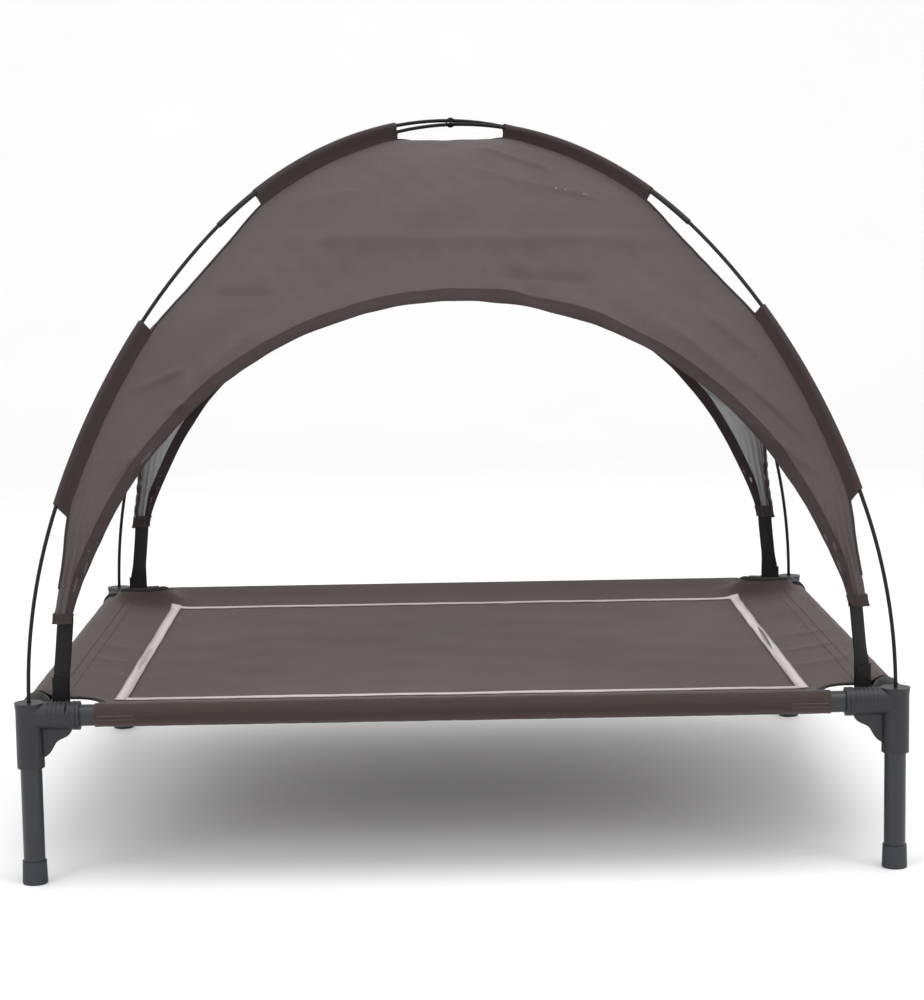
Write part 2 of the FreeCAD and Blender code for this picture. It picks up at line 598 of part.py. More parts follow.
def make_canopy():
    """Four panels, their arch hems, the sleeves, pockets and straps."""
    pockets = [mirror_to(pocket_block(0), sx, sy) for _, sx, sy, _ in CORNERS]
    for name, half_x, half_y, turn in (("front", AXIS_X, AXIS_Y, 0), ("rear", AXIS_X, AXIS_Y, 180),
                                       ("left", AXIS_Y, AXIS_X, 270), ("right", AXIS_Y, AXIS_X, 90)):
        scale = half_y / HALF_DIAGONAL
        quarter = wedge(half_x, half_y)
        cloth = panel_blank(scale, 0.0, PANEL_THICK).common(quarter).cut(arch(half_x, 0))
        skin = panel_blank(scale, HEM_THICK, HEM_THICK).common(quarter)
        hem = skin.common(arch(half_x, HEM_WIDTH)).cut(arch(half_x, 0))
        for shape, node in ((cloth, "canopy_panel_" + name), (hem, "arch_hem_" + name)):
            shape.rotate(V(0, 0, 0), UP, turn)
            for pocket in pockets:
                shape = shape.cut(pocket)
            keep = max(shape.Solids, key=lambda solid: solid.Volume)
            save(node, keep)
    for (name, sx, sy, turn), pocket in zip(CORNERS, pockets):
        drop = POLE_D + CROSSING_GAP if sx * sy < 0 else 0.0
        save("end_pocket_" + name, pocket)
        save("canopy_strap_" + name, at_corner(strap(), sx, sy, turn))
        save("upper_pole_sleeve_" + name, turn_to(sleeve(*UPPER_SLEEVE, drop), sx, sy))
        save("lower_pole_sleeve_" + name, turn_to(sleeve(*LOWER_SLEEVE, drop), sx, sy))


os.makedirs("parts", exist_ok=True)
make_frame()
make_bed()
make_poles()
make_canopy()
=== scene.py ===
"""Raised dog bed on a tube frame, with an arched canopy over two crossing poles.

Metres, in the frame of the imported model: the origin is on the ground at the middle of the
four feet, +X runs along the long front side, +Y to the rear and +Z up.
"""
from __future__ import annotations

import logging
import math
from dataclasses import dataclass, field
from enum import Enum

import bpy
import numpy as np
from mathutils import Matrix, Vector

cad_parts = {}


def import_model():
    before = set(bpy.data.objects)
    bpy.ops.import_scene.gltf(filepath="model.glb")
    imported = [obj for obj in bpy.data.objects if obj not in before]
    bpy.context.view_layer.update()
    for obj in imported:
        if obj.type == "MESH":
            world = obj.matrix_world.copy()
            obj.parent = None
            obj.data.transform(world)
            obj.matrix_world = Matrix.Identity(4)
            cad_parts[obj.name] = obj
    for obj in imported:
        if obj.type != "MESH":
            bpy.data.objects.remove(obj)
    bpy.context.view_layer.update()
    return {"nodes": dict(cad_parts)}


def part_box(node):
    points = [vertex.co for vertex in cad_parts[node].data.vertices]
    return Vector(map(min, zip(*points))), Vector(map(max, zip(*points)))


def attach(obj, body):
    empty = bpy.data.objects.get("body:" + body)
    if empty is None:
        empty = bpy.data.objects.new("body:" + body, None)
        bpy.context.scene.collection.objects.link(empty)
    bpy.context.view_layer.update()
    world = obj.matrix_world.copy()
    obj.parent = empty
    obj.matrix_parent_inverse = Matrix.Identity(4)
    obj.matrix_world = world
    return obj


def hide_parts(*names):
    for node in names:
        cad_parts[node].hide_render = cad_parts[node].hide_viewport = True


Array = np.ndarray
LOG = logging.getLogger("dog_bed")
MM = 0.001


# ---------------------------------------------------------------- shader maths


class Value:
    """A shader socket that takes part in Python expressions."""

    def __init__(self, graph: "Graph", socket: bpy.types.NodeSocket) -> None:
        """Wrap one output socket of a graph."""
        self.graph = graph
        self.socket = socket

    def __add__(self, other: "Operand") -> "Value":
        """Add."""
        return self.graph.maths("ADD", self, other)

    __radd__ = __add__

    def __sub__(self, other: "Operand") -> "Value":
        """Subtract."""
        return self.graph.maths("SUBTRACT", self, other)

    def __rsub__(self, other: "Operand") -> "Value":
        """Subtract from a number."""
        return self.graph.maths("SUBTRACT", other, self)

    def __mul__(self, other: "Operand") -> "Value":
        """Multiply."""
        return self.graph.maths("MULTIPLY", self, other)

    __rmul__ = __mul__

    def __truediv__(self, other: "Operand") -> "Value":
        """Divide."""
        return self.graph.maths("DIVIDE", self, other)

    def __pow__(self, other: "Operand") -> "Value":
        """Raise to a power."""
        return self.graph.maths("POWER", self, other)

    def clamp(self) -> "Value":
        """Keep between 0 and 1."""
        return self.graph.maths("ADD", self, 0.0, clamp=True)


Operand = Value | float


class Graph:
    """The node tree of one material, built by expressions."""

    def __init__(self, name: str) -> None:
        """Start an empty material with its surface shader.

        Args:
            name: the material's name.
        """
        self.material = bpy.data.materials.new(name)
        self.material.use_nodes = True
        self.tree = self.material.node_tree
        self.tree.nodes.clear()
        self.output = self.tree.nodes.new("ShaderNodeOutputMaterial")
        self.shader = self.tree.nodes.new("ShaderNodeBsdfPrincipled")
        self.tree.links.new(self.shader.outputs[0], self.output.inputs["Surface"])

    def node(self, kind: str, settings: dict | None = None, inputs: dict | None = None,
             output: int | str = 0) -> Value:
        """Add one node.

        Args:
            kind: the node's type.
            settings: its own settings, which are set first; a ramp's stops go under "stops".
            inputs: values or links of its sockets, by name or place.
            output: which output to return.

        Returns:
            The chosen output as a value.
        """
        made = self.tree.nodes.new(kind)
        for key, value in (settings or {}).items():
            if key == "stops":
                ramp = made.color_ramp
                while len(ramp.elements) < len(value):
                    ramp.elements.new(0.5)
                for element, (place, colour) in zip(ramp.elements, value):
                    element.position = place
                    element.color = (*colour, 1.0)
            else:
                setattr(made, key, value)
        for key, value in (inputs or {}).items():
            self.plug(made.inputs[key], value)
        return Value(self, made.outputs[output])

    def plug(self, socket: bpy.types.NodeSocket, value: object) -> None:
        """Link a value to a socket, or set a constant on it."""
        if isinstance(value, Value):
            self.tree.links.new(value.socket, socket)
        elif isinstance(value, tuple) and len(value) == 3 and socket.type == "RGBA":
            socket.default_value = (*value, 1.0)
        else:
            socket.default_value = value

    def maths(self, operation: str, *values: Operand, clamp: bool = False) -> Value:
        """One Math node on one to three values."""
        return self.node("ShaderNodeMath", {"operation": operation, "use_clamp": clamp},
                         dict(enumerate(values)))

    def blend(self, factor: Operand, low: object, high: object, mode: str = "MIX") -> Value:
        """Mix two colours.

        Args:
            factor: how much of the second colour shows.
            low: the first colour.
            high: the second colour.
            mode: the way they are mixed.

        Returns:
            The mixed colour.
        """
        made = self.tree.nodes.new("ShaderNodeMix")
        made.data_type = "RGBA"
        made.blend_type = mode
        for place, value in ((0, factor), (6, low), (7, high)):
            self.plug(made.inputs[place], value)
        return Value(self, made.outputs[2])

    def place(self, name: str = "Object") -> Value:
        """The point on the surface, in metres: Object, or UV for the piece's own map."""
        return self.node("ShaderNodeTexCoord", output=name)

    def axis(self, vector: Value, name: str) -> Value:
        """One part, X, Y or Z, of a vector."""
        return self.node("ShaderNodeSeparateXYZ", inputs={0: vector}, output=name)

    def stretched(self, vector: Value, scale: tuple[float, float, float]) -> Value:
        """A vector multiplied axis by axis."""
        return self.node("ShaderNodeVectorMath", {"operation": "MULTIPLY"}, {0: vector, 1: scale})

    def noise(self, vector: Value, scale: float, detail: float = 2.0, rough: float = 0.5) -> Value:
        """Noise between 0 and 1, with so many lumps to the metre."""
        return self.node("ShaderNodeTexNoise", inputs={
            "Vector": vector, "Scale": scale, "Detail": detail, "Roughness": rough})

    def bump(self, height: Value, distance: float, strength: float = 1.0,
             under: Value | None = None) -> Value:
        """A normal bent by a height between 0 and 1, distance metres deep."""
        inputs = {"Height": height, "Distance": distance, "Strength": strength}
        if under is not None:
            inputs["Normal"] = under
        return self.node("ShaderNodeBump", inputs=inputs)

    def finish(self, **sockets: object) -> bpy.types.Material:
        """Fill the surface shader's sockets, spaces in their names as underscores.

        Returns:
            The finished material.
        """
        for key, value in sockets.items():
            self.plug(self.shader.inputs[key.replace("_", " ")], value)
        return self.material


# ---------------------------------------------------------------- finishes

Colour = tuple[float, float, float]


def shade(colour: Colour, share: float) -> Colour:
    """A colour made lighter or darker by a share of itself."""
    return tuple(min(1.0, part * (1 + share)) for part in colour)


@dataclass(frozen=True)
class MouldedPlastic:
    """Injection-moulded nylon or rubber: fine spark grain, cloudy gloss, faint scuffs."""

    name: str
    colour: Colour
    roughness: float = 0.46
    grain: float = 0.05 * MM

    def make(self) -> bpy.types.Material:
        """Build the material."""
        g = Graph(self.name)
        where = g.place()
        cloud = g.noise(where, 28.0, 3.0)
        grain = g.noise(where, 1600.0, 2.0, 0.6)
        scuff = g.noise(g.stretched(where, (260.0, 260.0, 24.0)), 1.0, 4.0, 0.7)
        worn = g.maths("SUBTRACT", scuff, 0.62, clamp=True) * 1.6
        colour = g.blend(cloud, shade(self.colour, -0.16), shade(self.colour, 0.2))
        return g.finish(Base_Color=g.blend(worn, colour, shade(self.colour, 0.9)),
                        Roughness=self.roughness - 0.06 + cloud * 0.12 + grain * 0.05,
                        Normal=g.bump(grain, self.grain), Specular_IOR_Level=0.45)


@dataclass(frozen=True)
class PowderCoat:
    """Powder-coated steel tube: a soft orange-peel skin."""

    name: str
    colour: Colour
    roughness: float = 0.36

    def make(self) -> bpy.types.Material:
        """Build the material."""
        g = Graph(self.name)
        where = g.place()
        peel = g.noise(where, 620.0, 2.0)
        speck = g.noise(where, 2600.0, 1.0)
        cloud = g.noise(where, 18.0, 2.0)
        return g.finish(Base_Color=g.blend(cloud * 0.6 + speck * 0.4, shade(self.colour, -0.14),
                                           shade(self.colour, 0.16)),
                        Roughness=self.roughness + speck * 0.1 + cloud * 0.05,
                        Normal=g.bump(peel, 0.08 * MM, 0.7), Metallic=0.0, Coat_Weight=0.12,
                        Coat_Roughness=0.28)


@dataclass(frozen=True)
class GlossRod:
    """Pultruded glass-fibre rod: a hard skin with fine fibre lines along it."""

    name: str
    colour: Colour
    roughness: float = 0.4

    def make(self) -> bpy.types.Material:
        """Build the material."""
        g = Graph(self.name)
        where = g.place()
        fibre = g.noise(g.stretched(where, (1800.0, 1800.0, 70.0)), 1.0, 2.0)
        cloud = g.noise(where, 40.0, 2.0)
        return g.finish(Base_Color=g.blend(fibre, shade(self.colour, -0.25), shade(self.colour, 0.5)),
                        Roughness=self.roughness + cloud * 0.1 + fibre * 0.06,
                        Normal=g.bump(fibre, 0.03 * MM, 0.5), Specular_IOR_Level=0.22)


class Weave(Enum):
    """How the threads of a cloth cross."""

    PLAIN = "over one, under one"
    COATED = "thick coated yarns with open corners"
    RIBBED = "webbing with ribs across it"


@dataclass(frozen=True)
class Cloth:
    """Woven cloth: thread relief from the piece's own map, slubs, soft wear, and painted shade in the gaps between
    threads.
    """

    name: str
    colour: Colour
    weave: Weave = Weave.PLAIN
    pitch: float = 0.55 * MM
    relief: float = 0.10 * MM
    crinkle: float = 0.45 * MM
    roughness: float = 0.72
    sheen: float = 0.06
    contrast: float = 0.24
    metallic: float = 0.0
    gloss: float = 0.25
    streak: float = 0.3

    def threads(self, g: Graph, where: Value) -> tuple[Value, Value]:
        """Height of the threads, and how deep the gaps between them are.

        Each thread is the arch of a sine across its pitch. A checker of the two counts says
        which set of threads is on top.

        Returns:
            The height and the gap mask, both between 0 and 1.
        """
        across, along = (1.0, 0.55) if self.weave is Weave.RIBBED else (1.0, 1.0)
        u = g.axis(where, "X") / (self.pitch * across)
        v = g.axis(where, "Y") / (self.pitch * along)
        warp = g.maths("ABSOLUTE", g.maths("SINE", u * math.pi))
        weft = g.maths("ABSOLUTE", g.maths("SINE", v * math.pi))
        turn = g.maths("MODULO", g.maths("ABSOLUTE", g.maths("FLOOR", u) + g.maths("FLOOR", v)), 2.0)
        over = g.maths("GREATER_THAN", turn, 0.5)
        height = over * warp + (1.0 - over) * weft
        gap = g.maths("SUBTRACT", 1.0, g.maths("MAXIMUM", warp, weft), clamp=True)
        return height, gap

    def make(self) -> bpy.types.Material:
        """Build the material."""
        g = Graph(self.name)
        where = g.place("UV")
        height, gap = self.threads(g, where)
        slub_u = g.noise(g.stretched(where, (700.0, 12.0, 1.0)), 1.0, 2.0)
        slub_v = g.noise(g.stretched(where, (12.0, 420.0, 1.0)), 1.0, 2.0)
        cloud = g.noise(where, 9.0, 3.0)
        crinkle = g.noise(where, 46.0, 5.0, 0.62)
        tone = slub_u * (0.55 - self.streak) + slub_v * self.streak + cloud * 0.45
        colour = g.blend(tone, shade(self.colour, -self.contrast), shade(self.colour, self.contrast))
        # The gaps between threads are darkened: painted shade in the weave's hollows, deepest on the coated mesh with
        # open corners.
        gap_shade = 4.0 if self.weave is Weave.COATED else 1.2
        colour = g.blend((gap * gap_shade).clamp() * 0.8, colour, shade(self.colour, -0.75))
        folds = g.bump(crinkle, self.crinkle, 0.8)
        return g.finish(Base_Color=colour,
                        Roughness=self.roughness - 0.08 + cloud * 0.1 + gap * 0.2,
                        Normal=g.bump(height, self.relief, 0.9, folds), Metallic=self.metallic,
                        Sheen_Weight=self.sheen, Sheen_Roughness=0.45,
                        Sheen_Tint=(0.9, 0.72, 0.70, 1.0), Specular_IOR_Level=self.gloss)


@dataclass(frozen=True)
class ReflectiveFilm:
    """Retroreflective film: tiny prisms under a clear skin, with painted dark reflections where the strip twists, each
    edged with a painted highlight.
    """

    name: str
    colour: Colour
    pitch: float = 0.9 * MM
    painted_reflections: tuple[tuple[float, float, float, float, float], ...] = ()

    def make(self) -> bpy.types.Material:
        """Build the material.

        A painted reflection is a lens that slants across the strip where it twists. With off =
        (u - middle) / half, it is painted dark where 1 - off^2 is more than the distance from the line
        v = lean * off over its width, streaked along the strip, and it has a painted bright rim, a
        painted highlight. Its last number is its depth.
        """
        g = Graph(self.name)
        where = g.place("UV")
        along, across = g.axis(where, "X"), g.axis(where, "Y")
        u, v = along / self.pitch, across / self.pitch
        prism = (g.maths("PINGPONG", u + v, 0.5) + g.maths("PINGPONG", u - v, 0.5)).clamp()
        cloud = g.noise(g.stretched(where, (22.0, 60.0, 1.0)), 1.0, 3.0)
        colour = g.blend(prism, shade(self.colour, -0.1), shade(self.colour, 0.06))
        colour = g.blend(cloud * 0.5, colour, shade(self.colour, -0.14))
        painted_dark_reflection: Operand = 0.0
        rim: Operand = 0.0
        streaks = g.noise(g.stretched(where, (30.0, 900.0, 1.0)), 1.0, 3.0, 0.6)
        # Each lens is a painted dark reflection where the strip twists; rim is a painted highlight along its edge.
        for middle, half, wide, lean, depth in self.painted_reflections:
            off = (along - middle) / half
            lens = 1.0 - off * off - g.maths("ABSOLUTE", across - off * lean) / wide
            painted_dark_reflection = g.maths("MAXIMUM", painted_dark_reflection, (lens * 3.0).clamp() * depth)
            rim = g.maths("MAXIMUM", rim, (1.0 - g.maths("ABSOLUTE", lens) * 7.0).clamp() * depth)
        painted_dark_reflection = painted_dark_reflection * (0.35 + streaks * 1.1).clamp()
        # Painted highlight along the lenses' rims, then the painted dark reflection inside them.
        colour = g.blend(rim * 0.5, colour, shade(self.colour, 0.5))
        return g.finish(Base_Color=g.blend(painted_dark_reflection, colour, shade(self.colour, -0.9)),
                        Roughness=0.34 + cloud * 0.12 - painted_dark_reflection * 0.2, Metallic=0.1,
                        Normal=g.bump(prism, 0.03 * MM, 0.5), Coat_Weight=0.35, Coat_Roughness=0.2)


@dataclass(frozen=True)
class Thread:
    """Sewing thread: two twisted plies."""

    name: str
    colour: Colour

    def make(self) -> bpy.types.Material:
        """Build the material."""
        g = Graph(self.name)
        where = g.place()
        twist = g.maths("ABSOLUTE", g.maths("SINE", (g.axis(where, "X") + g.axis(where, "Y")
                                                     + g.axis(where, "Z")) * 9000.0))
        return g.finish(Base_Color=g.blend(twist, shade(self.colour, -0.35), shade(self.colour, 0.15)),
                        Roughness=0.6 + twist * 0.15, Normal=g.bump(twist, 0.05 * MM))


# ---------------------------------------------------------------- meshes


@dataclass
class Patch:
    """One surface: points, faces of three or four corners, a flat map, and a material's place."""

    points: Array
    faces: Array
    flat: Array
    slot: int = 0

    @classmethod
    def grid(cls, points: Array, flat: Array | None = None, slot: int = 0, around: bool = False) -> "Patch":
        """A patch from a grid of points.

        Args:
            points: the points, rows by columns by 3.
            flat: the map, rows by columns by 2, in metres; worked out from distances if left out.
            slot: the material's place.
            around: whether the last column joins the first.

        Returns:
            The patch, its faces turning from rows to columns.
        """
        if around:
            points = np.concatenate([points, points[:, :1]], axis=1)
            if flat is not None and flat.shape[1] != points.shape[1]:
                flat = np.concatenate([flat, flat[:, -1:]], axis=1)
        rows, columns = points.shape[:2]
        if flat is None:
            down = np.linalg.norm(np.diff(points, axis=0, prepend=points[:1]), axis=2).cumsum(0)
            over = np.linalg.norm(np.diff(points, axis=1, prepend=points[:, :1]), axis=2).cumsum(1)
            middle_row, middle_column = over[rows // 2], down[:, columns // 2]
            flat = np.stack(np.broadcast_arrays(middle_row[None, :], middle_column[:, None]), axis=2)
        index = np.arange(rows * columns).reshape(rows, columns)
        faces = np.stack([index[:-1, :-1], index[1:, :-1], index[1:, 1:], index[:-1, 1:]], axis=2)
        return cls(points.reshape(-1, 3), faces.reshape(-1, 4), flat.reshape(-1, 2), slot)

    def turned(self) -> "Patch":
        """The same patch with its faces looking the other way."""
        return Patch(self.points, self.faces[:, ::-1], self.flat, self.slot)

    def moved(self, spread: "Spread") -> "Patch":
        """The patch carried to another place."""
        turned = Patch(spread.apply(self.points), self.faces, self.flat, self.slot)
        return turned.turned() if spread.flips else turned


@dataclass(frozen=True)
class Spread:
    """A turn about the upright axis, after a mirror of X or Y, and then a shift."""

    turn: float = 0.0
    mirror_x: bool = False
    mirror_y: bool = False
    shift: tuple[float, float, float] = (0.0, 0.0, 0.0)

    @property
    def flips(self) -> bool:
        """Whether it turns a shape inside out."""
        return self.mirror_x != self.mirror_y

    def apply(self, points: Array) -> Array:
        """Carry points."""
        flipped = points * np.array([-1.0 if self.mirror_x else 1.0, -1.0 if self.mirror_y else 1.0, 1.0])
        c, s = math.cos(self.turn), math.sin(self.turn)
        matrix = np.array([[c, s, 0.0], [-s, c, 0.0], [0.0, 0.0, 1.0]])
        return flipped @ matrix + np.array(self.shift)


def build(name: str, patches: list[Patch], materials: list[bpy.types.Material],
          weld: float = 1e-6, sharp: float = 50.0) -> bpy.types.Object:
    """Make one mesh object from patches.

    Args:
        name: the piece's name.
        patches: its surfaces.
        materials: its materials, in slot order.
        weld: points nearer than this are joined.
        sharp: edges that bend by more degrees than this stay crisp.

    Returns:
        The object, at the origin.
    """
    mesh = bpy.data.meshes.new(name)
    starts = np.cumsum([0] + [len(p.points) for p in patches])
    points = np.concatenate([p.points for p in patches])
    corners = np.concatenate([(p.faces + start).ravel() for p, start in zip(patches, starts)])
    sizes = np.concatenate([np.full(len(p.faces), p.faces.shape[1]) for p in patches])
    flat = np.concatenate([p.flat for p in patches])[corners]
    mesh.vertices.add(len(points))
    mesh.vertices.foreach_set("co", points.astype(np.float32).ravel())
    mesh.loops.add(len(corners))
    mesh.loops.foreach_set("vertex_index", corners.astype(np.int32))
    mesh.polygons.add(len(sizes))
    mesh.polygons.foreach_set("loop_start", np.concatenate([[0], np.cumsum(sizes)[:-1]]).astype(np.int32))
    slots = np.concatenate([np.full(len(p.faces), p.slot) for p in patches])
    mesh.polygons.foreach_set("material_index", slots.astype(np.int32))
    mesh.polygons.foreach_set("use_smooth", np.ones(len(sizes), bool))
    mesh.update(calc_edges=True)
    mesh.uv_layers.new(name="UVMap").data.foreach_set("uv", flat.astype(np.float32).ravel())
    for material in materials:
        mesh.materials.append(material)
    obj = bpy.data.objects.new(name, mesh)
    bpy.context.scene.collection.objects.link(obj)
    clean(mesh, weld)
    mesh.set_sharp_from_angle(angle=math.radians(sharp))
    return obj


def clean(mesh: bpy.types.Mesh, weld: float) -> None:
    """Join doubled points and drop the faces that this leaves without area."""
    import bmesh
    work = bmesh.new()
    work.from_mesh(mesh)
    bmesh.ops.remove_doubles(work, verts=work.verts, dist=weld)
    bmesh.ops.dissolve_degenerate(work, dist=weld, edges=work.edges)
    work.to_mesh(mesh)
    work.free()


def unit(vectors: Array) -> Array:
    """Vectors made one long."""
    return vectors / np.maximum(np.linalg.norm(vectors, axis=-1, keepdims=True), 1e-12)


def smooth(low: float, high: float, x: Array) -> Array:
    """0 below low, 1 above high, and a smooth S between."""
    t = np.clip((x - low) / (high - low), 0.0, 1.0)
    return t * t * (3 - 2 * t)


def ripple(seed: int, places: list[Array], wave: float, terms: int = 5) -> Array:
    """Smooth noise between about -1 and 1: a sum of sines with seeded directions and phases.

    Args:
        seed: which noise.
        places: the coordinates, one array for each.
        wave: the typical wavelength, in the coordinates' unit.
        terms: how many sines.
    """
    rng = np.random.default_rng(seed)
    total = np.zeros(np.broadcast(*places).shape)
    for _ in range(terms):
        way = rng.normal(size=len(places))
        way *= 2 * math.pi / wave * rng.uniform(0.6, 1.6) / np.linalg.norm(way)
        total = total + np.sin(sum(w * p for w, p in zip(way, places)) + rng.uniform(0, 2 * math.pi))
    return total / math.sqrt(terms) * 0.8


def carry(path: Array, first: Array, second: Array, outline: Array) -> Array:
    """Carry an outline along a path: point = path + first * a + second * b.

    Args:
        path: n by 3.
        first: n by 3, the direction of the outline's first coordinate.
        second: n by 3, the direction of its second.
        outline: k by 2, or n by k by 2 where it changes along the path.

    Returns:
        The points, n by k by 3.
    """
    outline = np.broadcast_to(outline, (len(path), *outline.shape[-2:]))
    return (path[:, None] + first[:, None] * outline[..., :1] + second[:, None] * outline[..., 1:])


def capped(points: Array, slot: int = 0, flat: Array | None = None) -> Patch:
    """A closed tube from a grid whose columns go round, its two ends drawn to their middles."""
    ends = [np.broadcast_to(points[i].mean(0), points[i].shape)[None] for i in (0, -1)]
    if flat is not None:
        flat = np.concatenate([flat[:1], flat, flat[-1:]])
    return Patch.grid(np.concatenate([ends[0], points, ends[1]]), flat, slot, around=True)


def circle(radius: float, sides: int) -> Array:
    """A round outline, anticlockwise."""
    angle = np.linspace(0, 2 * math.pi, sides, endpoint=False)
    return np.stack([np.cos(angle), np.sin(angle)], axis=1) * radius


def lathe(profile: Array, sides: int = 64) -> Array:
    """Spin a profile of radius and height about the upright axis: points, heights by sides by 3."""
    angle = np.linspace(0, 2 * math.pi, sides, endpoint=False)
    ring = np.stack([np.cos(angle), np.sin(angle), np.zeros(sides)], axis=1)
    return profile[:, None, :1] * ring[None] + profile[:, None, 1:] * np.array([0.0, 0.0, 1.0])


def slab_outline(wide: float, thick: float, corner: float, steps: int = 4) -> Array:
    """A rounded rectangle, anticlockwise: four corner arcs."""
    arc = np.linspace(0, math.pi / 2, steps)
    parts = []
    for k, (sx, sy) in enumerate(((1, 1), (-1, 1), (-1, -1), (1, -1))):
        angle = arc + k * math.pi / 2
        middle = np.array([sx * (wide / 2 - corner), sy * (thick / 2 - corner)])
        parts.append(middle + corner * np.stack([np.cos(angle), np.sin(angle)], axis=1))
    return np.concatenate(parts)


def stitches(path: Array, normal: Array, pitch: float, long: float = 2.4 * MM, wide: float = 0.55 * MM,
             slot: int = 0) -> Patch:
    """A row of stitches along a path, each a small spindle that stands a little out of the cloth.

    Args:
        path: n by 3, on the cloth.
        normal: n by 3, outwards.
        pitch: from one stitch to the next.
        long: length of a stitch.
        wide: its width.
        slot: the material's place.
    """
    steps = np.concatenate([[0], np.linalg.norm(np.diff(path, axis=0), axis=1).cumsum()])
    count = max(2, int(steps[-1] / pitch))
    at = (np.arange(count) + 0.5) * steps[-1] / count
    centre = np.stack([np.interp(at, steps, path[:, k]) for k in range(3)], axis=1)
    out = unit(np.stack([np.interp(at, steps, normal[:, k]) for k in range(3)], axis=1))
    ahead = np.stack([np.interp(at + pitch / 3, steps, path[:, k]) for k in range(3)], axis=1)
    behind = np.stack([np.interp(at - pitch / 3, steps, path[:, k]) for k in range(3)], axis=1)
    along = unit(ahead - behind)
    side = np.cross(out, along)
    shape = np.array([[-0.5, 0, -0.3], [-0.25, 0.5, 0.1], [-0.25, 0, 0.5], [-0.25, -0.5, 0.1],
                      [0.25, 0.5, 0.1], [0.25, 0, 0.5], [0.25, -0.5, 0.1], [0.5, 0, -0.3]])
    points = (centre[:, None] + along[:, None] * shape[None, :, :1] * long
              + side[:, None] * shape[None, :, 1:2] * wide + out[:, None] * shape[None, :, 2:] * wide)
    quads = np.array([[1, 4, 5, 2], [2, 5, 6, 3], [3, 6, 4, 1], [0, 1, 2, 0], [0, 2, 3, 0], [0, 3, 1, 0],
                      [7, 5, 4, 7], [7, 6, 5, 7], [7, 4, 6, 7]])
    triangles = np.concatenate([quads[:3, [0, 1, 2]], quads[:3, [0, 2, 3]], quads[3:, :3]])
    faces = (triangles[None] + (np.arange(count) * len(shape))[:, None, None]).reshape(-1, 3)
    return Patch(points.reshape(-1, 3), faces, points.reshape(-1, 3)[:, :2], slot)


# ---------------------------------------------------------------- sizes shared by the pieces


@dataclass(frozen=True)
class Layout:
    """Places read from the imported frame."""

    axis_x: float
    axis_y: float
    rail_z: float
    tube: float
    deck: float
    sleeve: float
    apex: float

    @classmethod
    def from_frame(cls) -> "Layout":
        """Read the leg axes, the rails, the sling's sleeves and the top of the poles."""
        low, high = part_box("leg_tube_rear_right")
        rail_low, rail_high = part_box("front_rail")
        sling_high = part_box("bed_sling")[1]
        pole_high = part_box("upper_pole_middle_section")[1]
        rail_z = (rail_low.z + rail_high.z) / 2
        return cls((low.x + high.x) / 2, (low.y + high.y) / 2, rail_z, (rail_high.z - rail_low.z) / 2,
                   rail_z + 14 * MM, sling_high.z - rail_z, pole_high.z - 2 * MM)

    @property
    def half(self) -> float:
        """Half the diagonal between two leg axes."""
        return math.hypot(self.axis_x, self.axis_y)


class Corner(Enum):
    """A corner of the bed: the signs of its X and Y, and its turn from the front left."""

    FRONT_LEFT = ("front_left", -1, -1, 0)
    FRONT_RIGHT = ("front_right", 1, -1, 90)
    REAR_RIGHT = ("rear_right", 1, 1, 180)
    REAR_LEFT = ("rear_left", -1, 1, 270)

    def __init__(self, label: str, sx: int, sy: int, turn: int) -> None:
        """Keep the corner's facts."""
        self.label = label
        self.sx = sx
        self.sy = sy
        self.turn = turn

    @property
    def band(self) -> tuple[float, float]:
        """How far the leg's band stands above the pocket's lower end, and its height, in mm."""
        return {(-1, -1): (2.6, 10.0), (1, -1): (6.4, 11.5)}.get((self.sx, self.sy), (8.6, 14.0))

    @property
    def twist(self) -> float:
        """How far the strap here has turned about its length, in degrees."""
        return {(-1, -1): 0.0, (1, -1): -7.0, (1, 1): 13.0, (-1, 1): -13.0}[(self.sx, self.sy)]

    @property
    def low_pole(self) -> bool:
        """Whether the pole that stands here passes under the other."""
        return self.sx * self.sy < 0


@dataclass
class PoleLine:
    """A pole's axis in its own upright plane: three tangent arcs from the crossing to the corner."""

    layout: Layout
    foot_angle: float = 21.3
    shoulder_angle: float = 49.8
    shoulder_radius: float = 0.703
    samples: int = 1200

    def __post_init__(self) -> None:
        """Solve the lower and top radii, and tabulate distance, place and heading."""
        a, b = math.radians(self.foot_angle), math.radians(self.shoulder_angle)
        across = self.layout.half - self.shoulder_radius * (math.cos(a) - math.cos(b))
        rise = self.layout.apex - self.layout.deck - self.shoulder_radius * (math.sin(b) - math.sin(a))
        matrix = np.array([[1 - math.cos(a), math.cos(b)], [math.sin(a), 1 - math.sin(b)]])
        low_radius, top_radius = np.linalg.solve(matrix, [across, rise])
        arcs = ((top_radius, math.pi / 2, b), (self.shoulder_radius, b, a), (low_radius, a, 0.0))
        heading = np.concatenate([np.linspace(p, q, self.samples) for _, p, q in arcs])
        radius = np.repeat([r for r, _, _ in arcs], self.samples)
        step = -np.diff(heading, prepend=heading[0]) * radius
        middle = heading - np.diff(heading, prepend=heading[0]) / 2
        self.distance = step.cumsum()
        self.s = (step * np.sin(middle)).cumsum()
        self.z = self.layout.apex - (step * np.cos(middle)).cumsum()
        self.heading = heading

    def at(self, distance: Array, offset: float | Array = 0.0) -> tuple[Array, Array, Array]:
        """Places along the pole, moved inwards by offset.

        Returns:
            The distance from the middle, the height, and the heading from upright.
        """
        distance = np.asarray(distance, float)
        h = np.interp(distance, self.distance, self.heading)
        past = np.maximum(distance - self.distance[-1], 0.0)
        s = np.interp(distance, self.distance, self.s) - offset * np.cos(h)
        z = np.interp(distance, self.distance, self.z) - offset * np.sin(h) - past
        return s, z, h


